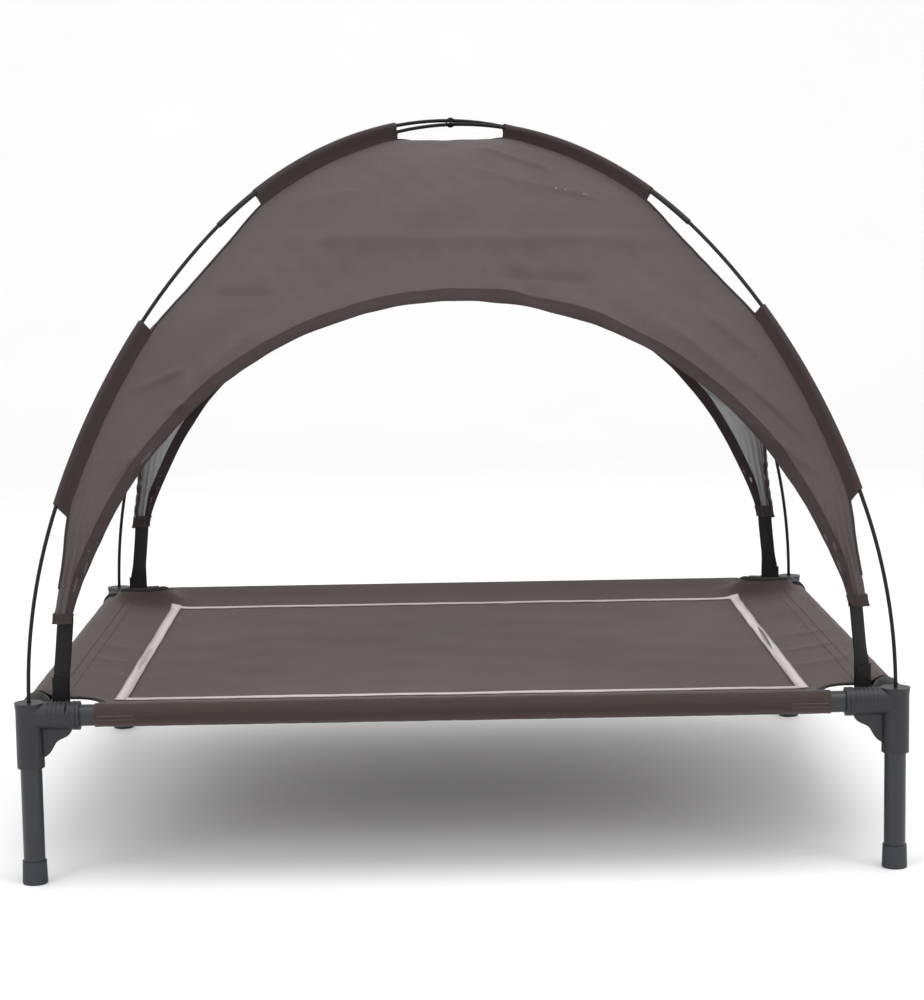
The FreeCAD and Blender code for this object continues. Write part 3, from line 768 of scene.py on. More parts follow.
@dataclass
class RidgeLine:
    """The canopy's seam in a diagonal plane, from the middle down to the pocket."""

    layout: Layout
    pole: PoleLine
    flap: float = 16 * MM
    top_dip: float = 30 * MM
    upper_sleeve: tuple[float, float] = (0.082, 0.290)
    lower_sleeve: tuple[float, float] = (0.482, 0.698)
    end: tuple[float, float] = (0.0335, 0.0825)
    samples: int = 900

    def __post_init__(self) -> None:
        """Draw a smooth curve through the seam's places and tabulate it by its own length."""
        lay = self.layout
        first_s, first_z, _ = self.pole.at(np.linspace(*self.upper_sleeve, 5), self.flap)
        last_s, last_z, _ = self.pole.at(np.linspace(*self.lower_sleeve, 5), self.flap)
        chord = np.array([0.3, 0.7])
        end_s, end_z = lay.half - self.end[0], lay.deck + self.end[1]
        s = np.concatenate([[0, self.upper_sleeve[0] / 2], first_s,
                            first_s[-1] + (last_s[0] - first_s[-1]) * chord, last_s,
                            [(last_s[-1] + end_s) / 2 - MM, end_s]])
        z = np.concatenate([[lay.apex - self.top_dip, lay.apex - self.top_dip * 0.86], first_z,
                            first_z[-1] + (last_z[0] - first_z[-1]) * chord, last_z,
                            [(last_z[-1] + end_z) / 2, end_z]])
        knots = np.concatenate([[0], np.hypot(np.diff(s), np.diff(z)).cumsum()])
        at = np.linspace(0, knots[-1], self.samples)
        fine = np.stack([through(knots, s, at), through(knots, z, at)], axis=1)
        self.distance = np.concatenate([[0], np.linalg.norm(np.diff(fine, axis=0), axis=1).cumsum()])
        self.s, self.z = fine[:, 0], fine[:, 1]
        slope = unit(np.gradient(fine, axis=0))
        self.along = slope

    @property
    def length(self) -> float:
        """The seam's length from the middle to the pocket."""
        return float(self.distance[-1])

    def at(self, distance: Array) -> tuple[Array, Array]:
        """Distance from the middle and height at lengths along the seam."""
        return np.interp(distance, self.distance, self.s), np.interp(distance, self.distance, self.z)

    def below(self, height: float) -> float:
        """The length along the seam where it comes down to a height."""
        falling = self.distance > self.upper_sleeve[0]
        return float(np.interp(-height, -self.z[falling], self.distance[falling]))


def through(knots: Array, values: Array, at: Array) -> Array:
    """A smooth curve through values: cubic pieces whose slopes are those of the neighbours' parabola."""
    gaps = np.diff(knots)
    slopes = np.diff(values) / gaps
    inner = (slopes[:-1] * gaps[1:] + slopes[1:] * gaps[:-1]) / (gaps[1:] + gaps[:-1])
    tangents = np.concatenate([[0.0 if abs(slopes[0]) < 0.2 else slopes[0]], inner, [slopes[-1]]])
    i = np.clip(np.searchsorted(knots, at, side="right") - 1, 0, len(gaps) - 1)
    t = (at - knots[i]) / gaps[i]
    return ((1 + 2 * t) * (1 - t) ** 2 * values[i] + t * (1 - t) ** 2 * gaps[i] * tangents[i]
            + t * t * (3 - 2 * t) * values[i + 1] + t * t * (t - 1) * gaps[i] * tangents[i + 1])


# ---------------------------------------------------------------- canopy


class Side(Enum):
    """A side of the canopy: its turn from the front in degrees, and whether it is a long side."""

    FRONT = ("front", 0, True)
    REAR = ("rear", 180, True)
    LEFT = ("left", 270, False)
    RIGHT = ("right", 90, False)

    def __init__(self, label: str, turn: int, long: bool) -> None:
        """Keep the side's facts."""
        self.label = label
        self.turn = turn
        self.long = long


@dataclass(frozen=True)
class Fold:
    """A soft crease across a panel: from and to, as across and down in metres, width and height."""

    start: tuple[float, float]
    end: tuple[float, float]
    width: float
    height: float

    def rise(self, x: Array, t: Array) -> Array:
        """How far the cloth stands out: a bell across the crease that fades at both its ends."""
        a, b = np.array(self.start), np.array(self.end)
        long = np.linalg.norm(b - a)
        way = (b - a) / long
        along = ((x - a[0]) * way[0] + (t - a[1]) * way[1]) / long
        off = (x - a[0]) * -way[1] + (t - a[1]) * way[0]
        fade = smooth(-0.15, 0.25, along) * (1 - smooth(0.7, 1.15, along))
        return self.height * fade * np.exp(-np.abs(off / self.width) ** 1.6)


@dataclass
class CanopyPanel:
    """One quarter of the canopy: cloth stretched straight across between two ridge seams.

    The surface is a cylinder. Its outline seen from the side is the ridge seam, pressed together
    by the share of the diagonal that the side has, and the cloth runs straight across it.
    """

    side: Side
    layout: Layout
    ridge: RidgeLine
    folds: list[Fold]
    seed: int
    cloth: bpy.types.Material
    lining: bpy.types.Material
    hem_cloth: bpy.types.Material
    thread: bpy.types.Material
    arch_radius: float = 0.403
    arch_top: float = 0.583
    thick: float = 0.7 * MM
    hem: float = 12 * MM
    gather: float = 5 * MM
    columns: int = 351
    rows: int = 101
    pleat: float = 1.3 * MM
    pleat_wave: float = 7.2 * MM
    seam_turned: float = 10 * MM

    def __post_init__(self) -> None:
        """Work out the side's shares, and where the arch starts and ends."""
        lay = self.layout
        self.half_x, self.half_y = (lay.axis_x, lay.axis_y) if self.side.long else (lay.axis_y, lay.axis_x)
        self.squeeze = self.half_x / lay.axis_x
        self.centre = self.arch_top - self.arch_radius
        self.spread = Spread(turn=math.radians(self.side.turn))
        cosine = (self.ridge.z[-1] - self.centre) / self.arch_radius
        self.reach = math.acos(cosine)

    def relief(self, x: Array, t: Array) -> Array:
        """Folds and slack, fading to nothing at the ridge seams, and upright pleats at the legs' ends."""
        s, _ = self.ridge.at(t)
        edge = self.half_x / self.layout.half * s - np.abs(x)
        hold = smooth(0.0, 0.05, edge)
        total = sum((fold.rise(x, t) for fold in self.folds), np.zeros(np.broadcast(x, t).shape))
        total = total + 1.6 * MM * ripple(self.seed, [x, t * 1.6], 0.16) * hold
        total = total + 0.6 * MM * ripple(self.seed + 1, [x * 1.4, t], 0.05) * hold
        low = smooth(0.30, 0.55, t)
        total = total + 2.2 * MM * low * ripple(self.seed + 2, [x * 0.7 - np.abs(t) * np.sign(x) * 0.6], 0.05) * hold
        total = total * (0.3 + 0.7 * hold) * smooth(0.0, 0.12, t)
        drawn = smooth(self.ridge.length - 0.17, self.ridge.length - 0.02, t)
        wave = np.sin(2 * math.pi * edge / self.pleat_wave + 1.6 * np.sin(t * 31 + self.seed) + np.sign(x))
        return (total + self.pleat * drawn * wave) * smooth(0.0, 0.006, edge)

    def place(self, x: Array, t: Array, lift: float | Array = 0.0) -> tuple[Array, Array]:
        """Points on the cloth and its outward directions.

        Args:
            x: metres across, from the panel's middle line.
            t: metres down the cloth from the canopy's middle.
            lift: how far outside the cloth.

        Returns:
            Points and unit normals.
        """
        share = self.half_y / self.layout.half
        s, z = self.ridge.at(t)
        step = 0.5 * MM
        s1, z1 = self.ridge.at(t + step)
        s0, z0 = self.ridge.at(t - step)
        slope = unit(np.stack([(s1 - s0) * share, z1 - z0], axis=-1))
        normal = np.stack([np.zeros_like(s), slope[..., 1], slope[..., 0]], axis=-1)
        x, s, z = np.broadcast_arrays(x, s, z)
        normal = np.broadcast_to(normal, (*x.shape, 3))
        lift = self.relief(x, t) + lift
        points = np.stack([x, -share * s, z], axis=-1) + normal * np.asarray(lift)[..., None]
        return self.spread.apply(points), normal @ self.turn_matrix()

    def turn_matrix(self) -> Array:
        """The side's turn as a matrix for directions."""
        return self.spread.apply(np.eye(3))

    def arch(self, u: Array, grow: float = 0.0) -> tuple[Array, Array]:
        """The arch's edge: x across and t down, for u from -1 at the left foot to 1 at the right.

        It is a half round of the arch's radius seen from the front, pressed to an oval on a
        short side. grow moves it up into the cloth.
        """
        angle = u * self.reach
        radius = self.arch_radius + grow
        z = self.centre + radius * np.cos(angle)
        falling = self.ridge.distance > self.ridge.upper_sleeve[0]
        t = np.interp(-z, -self.ridge.z[falling], self.ridge.distance[falling])
        x = radius * np.sin(angle) * self.squeeze
        s, _ = self.ridge.at(t)
        x = x + np.sign(u) * self.gather * smooth(self.ridge.length - 0.09, self.ridge.length, t)
        limit = self.half_x / self.layout.half * s - 1.5 * MM
        return np.clip(x, -limit, limit), t

    def crest(self, u: Array) -> tuple[Array, Array]:
        """The ridge seams from the left foot over the middle to the right foot."""
        t = np.abs(u) * self.ridge.length
        s, _ = self.ridge.at(t)
        return np.sign(u) * self.half_x / self.layout.half * s, t

    def net(self) -> tuple[Array, Array]:
        """The grid of x and t between the arch, row 0, and the crest, the last row."""
        u = np.linspace(-1, 1, self.columns)[None, :]
        v = np.linspace(0, 1, self.rows)[:, None]
        (x0, t0), (x1, t1) = self.arch(u), self.crest(u)
        return x0 + (x1 - x0) * v, t0 + (t1 - t0) * v

    def panel(self) -> bpy.types.Object:
        """The cloth itself, coated on its inner side."""
        x, t = self.net()
        points, _ = self.place(x, t)
        flat = np.stack([x, t], axis=-1)
        piece = build(f"canopy_cloth_{self.side.label}", [Patch.grid(points, flat).turned()],
                      [self.cloth, self.lining, self.cloth], sharp=180.0)
        wall = piece.modifiers.new("wall", "SOLIDIFY")
        wall.thickness = self.thick
        wall.offset = -1.0
        wall.material_offset = 1
        wall.material_offset_rim = 2
        self.area = float(np.linalg.norm(np.cross(points[1:, :-1] - points[:-1, :-1],
                                                  points[:-1, 1:] - points[:-1, :-1]), axis=2).sum())
        return piece

    def hem_band(self) -> bpy.types.Object:
        """The hem: the cloth's edge turned over the arch on both faces, with its stitching.

        Its outline goes up the inner face, round the edge and up the outer face.
        """
        u = np.linspace(-1, 1, 2 * self.columns)
        lift = np.array([-1.7, -1.9, -1.9, -1.7, -0.9, 0.1, 0.7, 0.9, 0.9, 0.75, 0.0, -1.0]) * MM
        grow = np.array([1.0, 0.75, 0.4, 0.08, -0.03, -0.03, 0.05, 0.4, 0.75, 1.0, 1.02, 1.02]) * self.hem
        narrow = 1 - 0.45 * smooth(0.9, 1.0, np.abs(u))
        pucker = 0.12 * MM * np.sin(u * 900)
        rows = []
        for up, out in zip(grow, lift):
            x0, t0 = self.arch(u, 0.0)
            x1, t1 = self.arch(u, self.hem)
            part = up / self.hem * narrow
            points, _ = self.place(x0 + (x1 - x0) * part, t0 + (t1 - t0) * part, out + pucker * (abs(up) > MM))
            rows.append(points)
        grid = np.stack(rows, axis=1)
        long = u * self.arch_radius * self.reach
        down = np.cumsum(np.abs(np.diff(grow, prepend=grow[0])))
        flat = np.stack(np.broadcast_arrays(long[:, None], down[None, :]), axis=-1)
        patches = [capped(grid, 0, np.concatenate([flat, flat[:, -1:]], axis=1))]
        for share, out in ((0.15, 0.95), (0.86, 0.95), (0.86, -1.95)):
            x0, t0 = self.arch(u, 0.0)
            x1, t1 = self.arch(u, self.hem)
            path, normal = self.place(x0 + (x1 - x0) * share * narrow, t0 + (t1 - t0) * share * narrow, out * MM)
            patches.append(stitches(path, normal * math.copysign(1, out), 3.4 * MM, slot=1))
        return build(f"arch_hem_band_{self.side.label}", patches, [self.hem_cloth, self.thread])

    def add(self) -> None:
        """Make the panel and its hem, and hang them on the canopy."""
        label = self.side.label
        piece, band = self.panel(), self.hem_band()
        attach(piece, "canopy")
        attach(band, "canopy")
        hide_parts(f"canopy_panel_{label}")
        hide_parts(f"arch_hem_{label}")
        width, length = self.flat_size()
        cut = self.area + 2 * self.seam_turned * self.ridge.length
        LOG.info("canopy panel %s: %.4f square metres showing, %.4f cut from %.3f by %.3f m",
                 label, self.area, cut, width, length)

    def flat_size(self) -> tuple[float, float]:
        """The panel laid flat: its width at the legs' ends, and its outline's own length down the side."""
        share = self.half_y / self.layout.half
        down = np.hypot(np.diff(self.ridge.s) * share, np.diff(self.ridge.z)).sum()
        return float(2 * self.half_x / self.layout.half * self.ridge.s[-1]), float(down)


@dataclass
class RidgeTrim:
    """Everything along one diagonal: the seam, the two pole sleeves, the pocket and the strap."""

    corner: Corner
    layout: Layout
    pole: PoleLine
    ridge: RidgeLine
    cloth: bpy.types.Material
    thread: bpy.types.Material
    webbing: bpy.types.Material
    pole_gap: float = 4.3 * MM
    sleeve_radius: float = 3.7 * MM
    strap_width: float = 26.5 * MM
    strap_thick: float = 1.5 * MM

    def __post_init__(self) -> None:
        """Work out the diagonal's own directions."""
        lay = self.layout
        self.out = np.array([self.corner.sx * lay.axis_x, self.corner.sy * lay.axis_y, 0.0]) / lay.half
        self.up = np.array([0.0, 0.0, 1.0])
        self.across = np.cross(self.up, self.out)
        self.drop = self.pole_gap if self.corner.low_pole else 0.0

    def in_plane(self, s: Array, z: Array) -> Array:
        """Points of the diagonal plane from distance and height."""
        return s[..., None] * self.out + z[..., None] * self.up

    def sleeve(self, name: str, span: tuple[float, float], seed: int) -> bpy.types.Object:
        """A doubled flap from the ridge seam that goes round the pole.

        The outline is a drop: an arc over the pole, with two straight sides that meet at the seam.
        """
        steps = 90
        along = np.linspace(*span, steps)
        s, z, h = self.pole.at(along)
        z = z - self.drop
        normal = self.in_plane(np.cos(h), np.sin(h))
        tangent = self.in_plane(np.sin(h), -np.cos(h))
        path = self.in_plane(s, z)
        seam = self.in_plane(self.ridge.s, self.ridge.z)
        gap = seam[None] - path[:, None]
        nearest = np.abs((gap * tangent[:, None]).sum(2)).argmin(1)
        depth = -(gap[np.arange(steps), nearest] * normal).sum(1)
        turn = np.radians(np.linspace(-18, 198, 13))
        arc = np.stack([np.cos(turn), np.sin(turn)], axis=1) * self.sleeve_radius
        down = np.linspace(0, 1, 9)[1:]
        low = np.array([0.75 * MM, 0.0]) + np.array([0.0, -1.0]) * depth[:, None]
        side = arc[0] + (low[:, None] - arc[0]) * down[None, :, None]
        side[..., 0] -= 0.55 * MM * np.sin(math.pi * down)
        left = side * np.array([-1.0, 1.0])
        outline = np.concatenate([np.broadcast_to(arc, (steps, *arc.shape)), left, side[:, ::-1]], axis=1)
        near_end = np.exp(-np.minimum(along - span[0], span[1] - along) / 0.022)[:, None]
        level = outline[..., 1] / depth.mean()
        crease = np.sin((along[:, None] * 190 + level * 3.0) + seed)
        flat_part = smooth(0.1, 0.4, -level) * (1 - smooth(0.8, 1.0, -level))
        shift = 0.55 * MM * near_end * crease * flat_part
        shift = shift + 0.3 * MM * ripple(seed, [along[:, None], level * 0.03], 0.06) * flat_part
        outline = outline + np.stack([shift, np.zeros_like(shift)], axis=-1)
        grid = carry(path, self.across[None].repeat(steps, 0), normal, outline)
        lower = (along - span[0]) / (span[1] - span[0])
        slant = -7 * MM * level * (lower ** 5)[:, None] if span[0] > 0.4 else np.zeros_like(level)
        grid = grid + tangent[:, None] * slant[..., None]
        around = np.concatenate([[0], np.linalg.norm(np.diff(outline[steps // 2], axis=0), axis=1).cumsum()])
        flat = np.stack(np.broadcast_arrays(around[None, :], along[:, None]), axis=-1)
        patches = [capped(grid, 0, np.concatenate([flat, flat[:, -1:]], axis=1))]
        for sign in (-1, 1):
            lane = path - normal * (depth - 2.6 * MM)[:, None] + self.across * sign * 1.0 * MM
            patches.append(stitches(lane, self.across[None].repeat(steps, 0) * sign, 3.4 * MM, slot=1))
        for end in (2, -3):
            for sign in (-1, 1):
                share = np.linspace(0.15, 0.92, 14)[:, None]
                lane = path[end] - normal[end] * depth[end] * share
                lane = lane + self.across * sign * (3.5 - 2.6 * share) * MM
                patches.append(stitches(lane, np.tile(self.across * sign, (14, 1)), 3.0 * MM, slot=1))
        return build(name, patches, [self.cloth, self.thread])

    def seam(self) -> bpy.types.Object:
        """The felled seam that joins two panels: a low welt along the whole ridge."""
        t = np.linspace(0.004, self.ridge.length - 0.03, 260)
        s, z = self.ridge.at(t)
        s1, z1 = self.ridge.at(t + MM)
        s0, z0 = self.ridge.at(t - MM)
        slope = unit(np.stack([s1 - s0, z1 - z0], axis=1))
        tangent = self.in_plane(slope[:, 0], slope[:, 1])
        normal = self.in_plane(-slope[:, 1], slope[:, 0])
        outline = slab_outline(1.7 * MM, 3.4 * MM, 0.7 * MM, 4) + np.array([0.0, -0.1 * MM])
        wave = 0.25 * MM * ripple(self.corner.turn + 3, [t], 0.03)
        path = self.in_plane(s, z) + self.across * wave[:, None]
        grid = carry(path, np.cross(normal, tangent), normal, outline)
        return build(f"ridge_seam_{self.corner.label}", [capped(grid)], [self.cloth])

    def pocket(self) -> bpy.types.Object:
        """The stitched band that closes the gathered leg round the strap.

        Its outline is a rounded triangle: from the front panel's tip round the ridge to the
        side panel's tip, and straight back behind the strap. It is pleated like the cloth in it.
        """
        low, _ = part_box(f"end_pocket_{self.corner.label}")
        lay = self.layout
        rows = 22
        v = np.linspace(0, 1, rows)
        lift, tall = self.corner.band
        z = low.z + (lift + tall * v) * MM
        s = np.interp(-z, -self.ridge.z[100:], self.ridge.s[100:])
        tip = 0.408 * np.sin(np.arccos((z - 0.180) / 0.403))
        ridge = np.stack([s * lay.axis_x, s * lay.axis_y], axis=1) / lay.half
        corners = np.stack([ridge, np.stack([tip - 0.5 * MM, ridge[:, 1]], axis=1),
                            np.stack([ridge[:, 0], tip * lay.axis_y / lay.axis_x - 0.5 * MM], axis=1)], axis=1)
        middle = corners.mean(1, keepdims=True)
        share = np.linspace(0, 1, 34, endpoint=False)
        sides = [corners[:, i, None] + (corners[:, (i + 1) % 3, None] - corners[:, i, None]) * share[None, :, None]
                 for i in range(3)]
        ring = np.concatenate(sides, axis=1)
        soft = sum(np.roll(ring, k, axis=1) for k in range(-5, 6)) / 11
        away = unit(soft - middle)
        count = np.arange(ring.shape[1])
        pleat = 0.55 * np.sin(count * 2 * math.pi * 15 / len(count) + 0.7 * np.sin(count * 0.13 + self.corner.turn))
        roll = 0.9 * np.exp(-((v - 0.06) / 0.09) ** 2) + 0.6 * np.exp(-((v - 0.95) / 0.06) ** 2)
        grown = soft + away * ((2.2 + roll)[:, None] + pleat[None])[..., None] * MM
        sign = np.array([self.corner.sx, self.corner.sy])
        grid = np.concatenate([grown * sign, np.broadcast_to(z[:, None, None], (rows, len(count), 1))], axis=-1)
        flat = np.stack(np.broadcast_arrays(count[None, :] * 0.7 * MM, z[:, None]), axis=-1)
        band = capped(grid, 0, np.concatenate([flat, flat[:, -1:]], axis=1))
        patches = [band if self.corner.sx * self.corner.sy < 0 else band.turned()]
        for row in (6, 15):
            lane = np.concatenate([grid[row], grid[row][:1]])
            out = lane - lane.mean(0)
            patches.append(stitches(lane, unit(out), 2.6 * MM, 1.9 * MM, slot=1))
        return build(f"end_gather_{self.corner.label}", patches, [self.cloth, self.thread])

    def leg_frame(self) -> tuple[Array, Array, Array]:
        """The leg's axis on the ground, the way inwards at 45 degrees, and the way across it."""
        lay = self.layout
        leg = np.array([self.corner.sx * lay.axis_x, self.corner.sy * lay.axis_y, 0.0])
        way = np.array([-self.corner.sx, -self.corner.sy, 0.0]) / math.sqrt(2)
        return leg, way, np.cross(self.up, way)

    def ribbon(self, name: str, reach: Array, heights: Array, lean: Array | None = None,
               twist: Array | None = None) -> bpy.types.Object:
        """Webbing along a line given by its distance inwards from the leg's axis and its height.

        Args:
            name: the piece's name.
            reach: distances inwards.
            heights: heights.
            lean: an added shift, n by 3.
            twist: a turn about the line, one angle for each height.
        """
        leg, way, side = self.leg_frame()
        path = leg + way * reach[:, None] + self.up * heights[:, None]
        path = path if lean is None else path + lean
        tangent = unit(np.gradient(path, axis=0))
        turn = (np.zeros(len(path)) if twist is None else twist)[:, None]
        sides = np.cos(turn) * side + np.sin(turn) * way
        face = unit(np.cross(sides, tangent))
        outline = slab_outline(self.strap_width, self.strap_thick, 0.7 * MM, 4)
        return build(name, [capped(carry(path, sides, face, outline))], [self.webbing])

    def strap(self) -> bpy.types.Object:
        """Webbing from the pocket to the corner, its tail lying against the anchor's."""
        low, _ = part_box(f"canopy_strap_{self.corner.label}")
        pocket_low, pocket_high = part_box(f"end_pocket_{self.corner.label}")
        leg, way, _ = self.leg_frame()
        near = 41.5 * MM
        goal = np.array([(pocket_low.x + pocket_high.x) / 2, (pocket_low.y + pocket_high.y) / 2, 0.0])
        z = np.linspace(low.z, pocket_low.z + 10 * MM, 44)
        share = smooth(0.196, pocket_low.z + 8 * MM, z)[:, None]
        bow = 0.6 * MM * np.sin(z * 95)[:, None] * way
        twist = math.radians(self.corner.twist) * smooth(0.197, 0.225, z)
        return self.ribbon(f"webbing_strap_{self.corner.label}", np.full_like(z, near), z,
                           (goal - leg - way * near) * share + bow * share, twist)

    def anchor(self) -> bpy.types.Object:
        """Webbing round the free bar of the connector's web, its tail sewn up to itself."""
        knots = np.array([[39.75, 206], [39.75, 190], [39.75, 178], [39.75, 173], [38.6, 170.8], [36.4, 170.5],
                          [34.4, 171.1], [33.7, 173.2], [33.7, 175.4], [34.7, 177.3], [37.0, 177.6]]) * MM
        at = np.linspace(0, len(knots) - 1, 70)
        line = np.stack([through(np.arange(len(knots)), knots[:, k], at) for k in (0, 1)], axis=1)
        return self.ribbon(f"webbing_anchor_{self.corner.label}", line[:, 0], line[:, 1])

    def add(self) -> None:
        """Make the diagonal's pieces and hang them on the canopy."""
        label = self.corner.label
        start, end = self.ridge.lower_sleeve
        slip = 7 * MM if self.corner.sx < 0 else -7 * MM
        made = [(self.sleeve(f"upper_sleeve_cloth_{label}", self.ridge.upper_sleeve, self.corner.turn + 11),
                 f"upper_pole_sleeve_{label}", "edge_cloth"),
                (self.sleeve(f"lower_sleeve_cloth_{label}", (start + slip, end + slip / 2), self.corner.turn + 29),
                 f"lower_pole_sleeve_{label}", "edge_cloth"),
                (self.seam(), None, "edge_cloth"),
                (self.pocket(), f"end_pocket_{label}", "edge_cloth"),
                (self.strap(), f"canopy_strap_{label}", "webbing")]
        for piece, node, slot in made:
            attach(piece, "canopy")
            if node:
                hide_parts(node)
        anchor = self.anchor()
        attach(anchor, "frame")
        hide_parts("strap_anchor_loops")
        LOG.info("ridge %s: sleeves, seam, pocket, strap and anchor", label)


# ---------------------------------------------------------------- bed


@dataclass
class BedSling:
    """The mesh stretched between the rails, with a sleeve round each and a notch at each corner."""

    layout: Layout
    mesh_cloth: bpy.types.Material
    binding: bpy.types.Material
    film: bpy.types.Material
    thread: bpy.types.Material
    light_thread: bpy.types.Material
    notch_x: float = 67 * MM
    notch_y: float = 69 * MM
    notch_radius: float = 30 * MM
    shoulder: float = 3 * MM
    sag: float = 13.7 * MM
    front_edge: float = 177.5 * MM
    rear_edge: float = 196.0 * MM
    tape_inset: float = 76.8 * MM
    tape_width: float = 12 * MM
    pitch: float = 3.3 * MM
    seam_turned: float = 30 * MM

    def height(self, x: Array, y: Array) -> Array:
        """The sheet's height: down from the sleeves' shoulders to the tape, then a slight dip.

        The slope follows the distance to the nearer rail, rounded where two slopes meet. The
        notches' bound edges are pulled up, most at the rear, and the side margins have slack arcs.
        """
        lay = self.layout
        ax, ay = lay.axis_x - np.abs(x), lay.axis_y - np.abs(y)
        blend = 7 * MM
        near = -blend * np.log(np.exp(-ax / blend) + np.exp(-ay / blend))
        top = math.sqrt(lay.sleeve ** 2 - self.shoulder ** 2)
        part = np.maximum((near - self.shoulder) / (self.tape_inset - self.shoulder), 0.0)
        fall = self.sag * (1 - np.maximum(1 - part, 0.0) ** 1.33)
        fall = fall + 2.0 * MM * (1 - np.exp(-np.maximum(part - 0.9, 0.0) * 0.9))
        gap = np.maximum(self.in_notch(x, y), 0.0)
        plain = lay.rail_z + top - fall
        rise = (self.rear_edge - lay.rail_z - top) * smooth(16 * MM, 58 * MM, ay)
        edge = np.where(y > 0, lay.rail_z + top + rise, self.front_edge)
        reach = np.where(y > 0, 17 * MM, 11 * MM)
        hold = np.where(y > 0, smooth(0.0, 14 * MM, near), smooth(2 * MM, 22 * MM, near))
        pull = np.exp(-(gap / reach) ** 1.6) * hold
        crest = (0.5 + 0.5 * np.sin(y * 50 + 2.4 * np.sin(y * 13 + 1) - 9 * ax)) ** 5
        arcs = 1.0 * MM * crest * smooth(0.004, 0.03, near) * (1 - smooth(0.06, 0.085, ax)) * smooth(0.07, 0.14, ay)
        arcs = arcs * np.where(x > 0, 1.0, 0.5)
        soft = 0.25 * MM * ripple(5, [x, y], 0.12) * smooth(0.0, 0.06, near)
        return plain + (edge - plain) * pull + arcs + soft

    def in_notch(self, x: Array, y: Array) -> Array:
        """How far a point is outside the corner notches, negative inside: a rounded box's distance."""
        lay = self.layout
        dx = self.notch_x - self.notch_radius - (lay.axis_x - np.abs(x))
        dy = self.notch_y - self.notch_radius - (lay.axis_y - np.abs(y))
        outside = np.hypot(np.minimum(dx, 0.0), np.minimum(dy, 0.0))
        inside = np.minimum(dx, dy)
        return np.where(inside > 0, -inside, outside) - self.notch_radius

    def sheet(self) -> Patch:
        """The flat middle, cut to the notches: cells in a notch go, and its edge is drawn smooth."""
        lay = self.layout
        edge = self.shoulder - 1 * MM
        half_x, half_y = lay.axis_x - edge, lay.axis_y - edge
        nx, ny = int(2 * half_x / self.pitch), int(2 * half_y / self.pitch)
        x, y = np.meshgrid(np.linspace(-half_x, half_x, nx), np.linspace(-half_y, half_y, ny))
        gap = self.in_notch(x, y)
        index = np.arange(x.size).reshape(x.shape)
        faces = np.stack([index[:-1, :-1], index[:-1, 1:], index[1:, 1:], index[1:, :-1]], axis=2).reshape(-1, 4)
        keep = (gap.ravel()[faces] > -self.pitch * 0.45).all(1)
        faces = faces[keep]
        used = np.zeros(x.size, bool)
        used[faces.ravel()] = True
        rim = (np.abs(gap) < self.pitch * 0.5).ravel() & used
        step = 0.05 * MM
        gx = (self.in_notch(x + step, y) - self.in_notch(x - step, y)) / (2 * step)
        gy = (self.in_notch(x, y + step) - self.in_notch(x, y - step)) / (2 * step)
        x = x - np.where(rim.reshape(x.shape), gap * gx, 0)
        y = y - np.where(rim.reshape(x.shape), gap * gy, 0)
        points = np.stack([x, y, self.height(x, y)], axis=-1).reshape(-1, 3)
        renumber = np.cumsum(used) - 1
        flat = np.stack([x, y], axis=-1).reshape(-1, 2)
        return Patch(points[used], renumber[faces], flat[used])

    def sleeve(self, long_side: bool, sign: int) -> Patch:
        """The cloth round one rail: from the sheet's edge over the tube and back under the sheet.

        In the cross-section it starts at the shoulder, goes round the tube at the sleeve's
        radius, and lies against the sheet from below for the width of the seam. At both ends it
        is turned in for a few millimetres.
        """
        lay = self.layout
        reach = (lay.axis_x - self.notch_x) if long_side else (lay.axis_y - self.notch_y)
        run = np.linspace(-reach, reach, 170)
        start = math.acos(self.shoulder / lay.sleeve)
        angle = np.linspace(start, 2 * math.pi + math.radians(10), 32)
        ring = np.stack([np.cos(angle), np.sin(angle)], axis=1) * lay.sleeve
        lap_in = np.array([13.6, 15.4, 19.0, 24.0, 31.0]) * MM
        lap_up = np.array([4.6, 7.0, 0.0, 0.0, 0.0]) * MM
        outline = np.concatenate([ring, np.stack([lap_in, lap_up], axis=1)])
        loose = 0.18 * MM * ripple(7 + sign + 3 * long_side, [run[:, None], outline[None, :, 0] * 4], 0.03)
        loose = loose * (np.arange(len(outline)) > 2)[None]
        shape = outline[None] + unit(outline)[None] * loose[..., None]
        turned = outline - unit(outline) * 1.0 * MM
        shape = np.concatenate([[turned, turned], shape, [turned, turned]])
        run = np.concatenate([[8 * MM - reach, -reach], run, [reach, reach - 8 * MM]])
        along = np.broadcast_to(run[:, None], shape.shape[:2])
        away = sign * ((lay.axis_y if long_side else lay.axis_x) - shape[..., 0])
        x, y = (along, away) if long_side else (away, along)
        z = lay.rail_z + shape[..., 1]
        z[:, -3:] = self.height(x, y)[:, -3:] - 1.2 * MM
        around = np.concatenate([[0], np.linalg.norm(np.diff(outline, axis=0), axis=1).cumsum()])
        flat = np.stack(np.broadcast_arrays(run[:, None], around[None, :]), axis=-1)
        patch = Patch.grid(np.stack([x, y, z], axis=-1), flat)
        return patch if (sign > 0) == long_side else patch.turned()

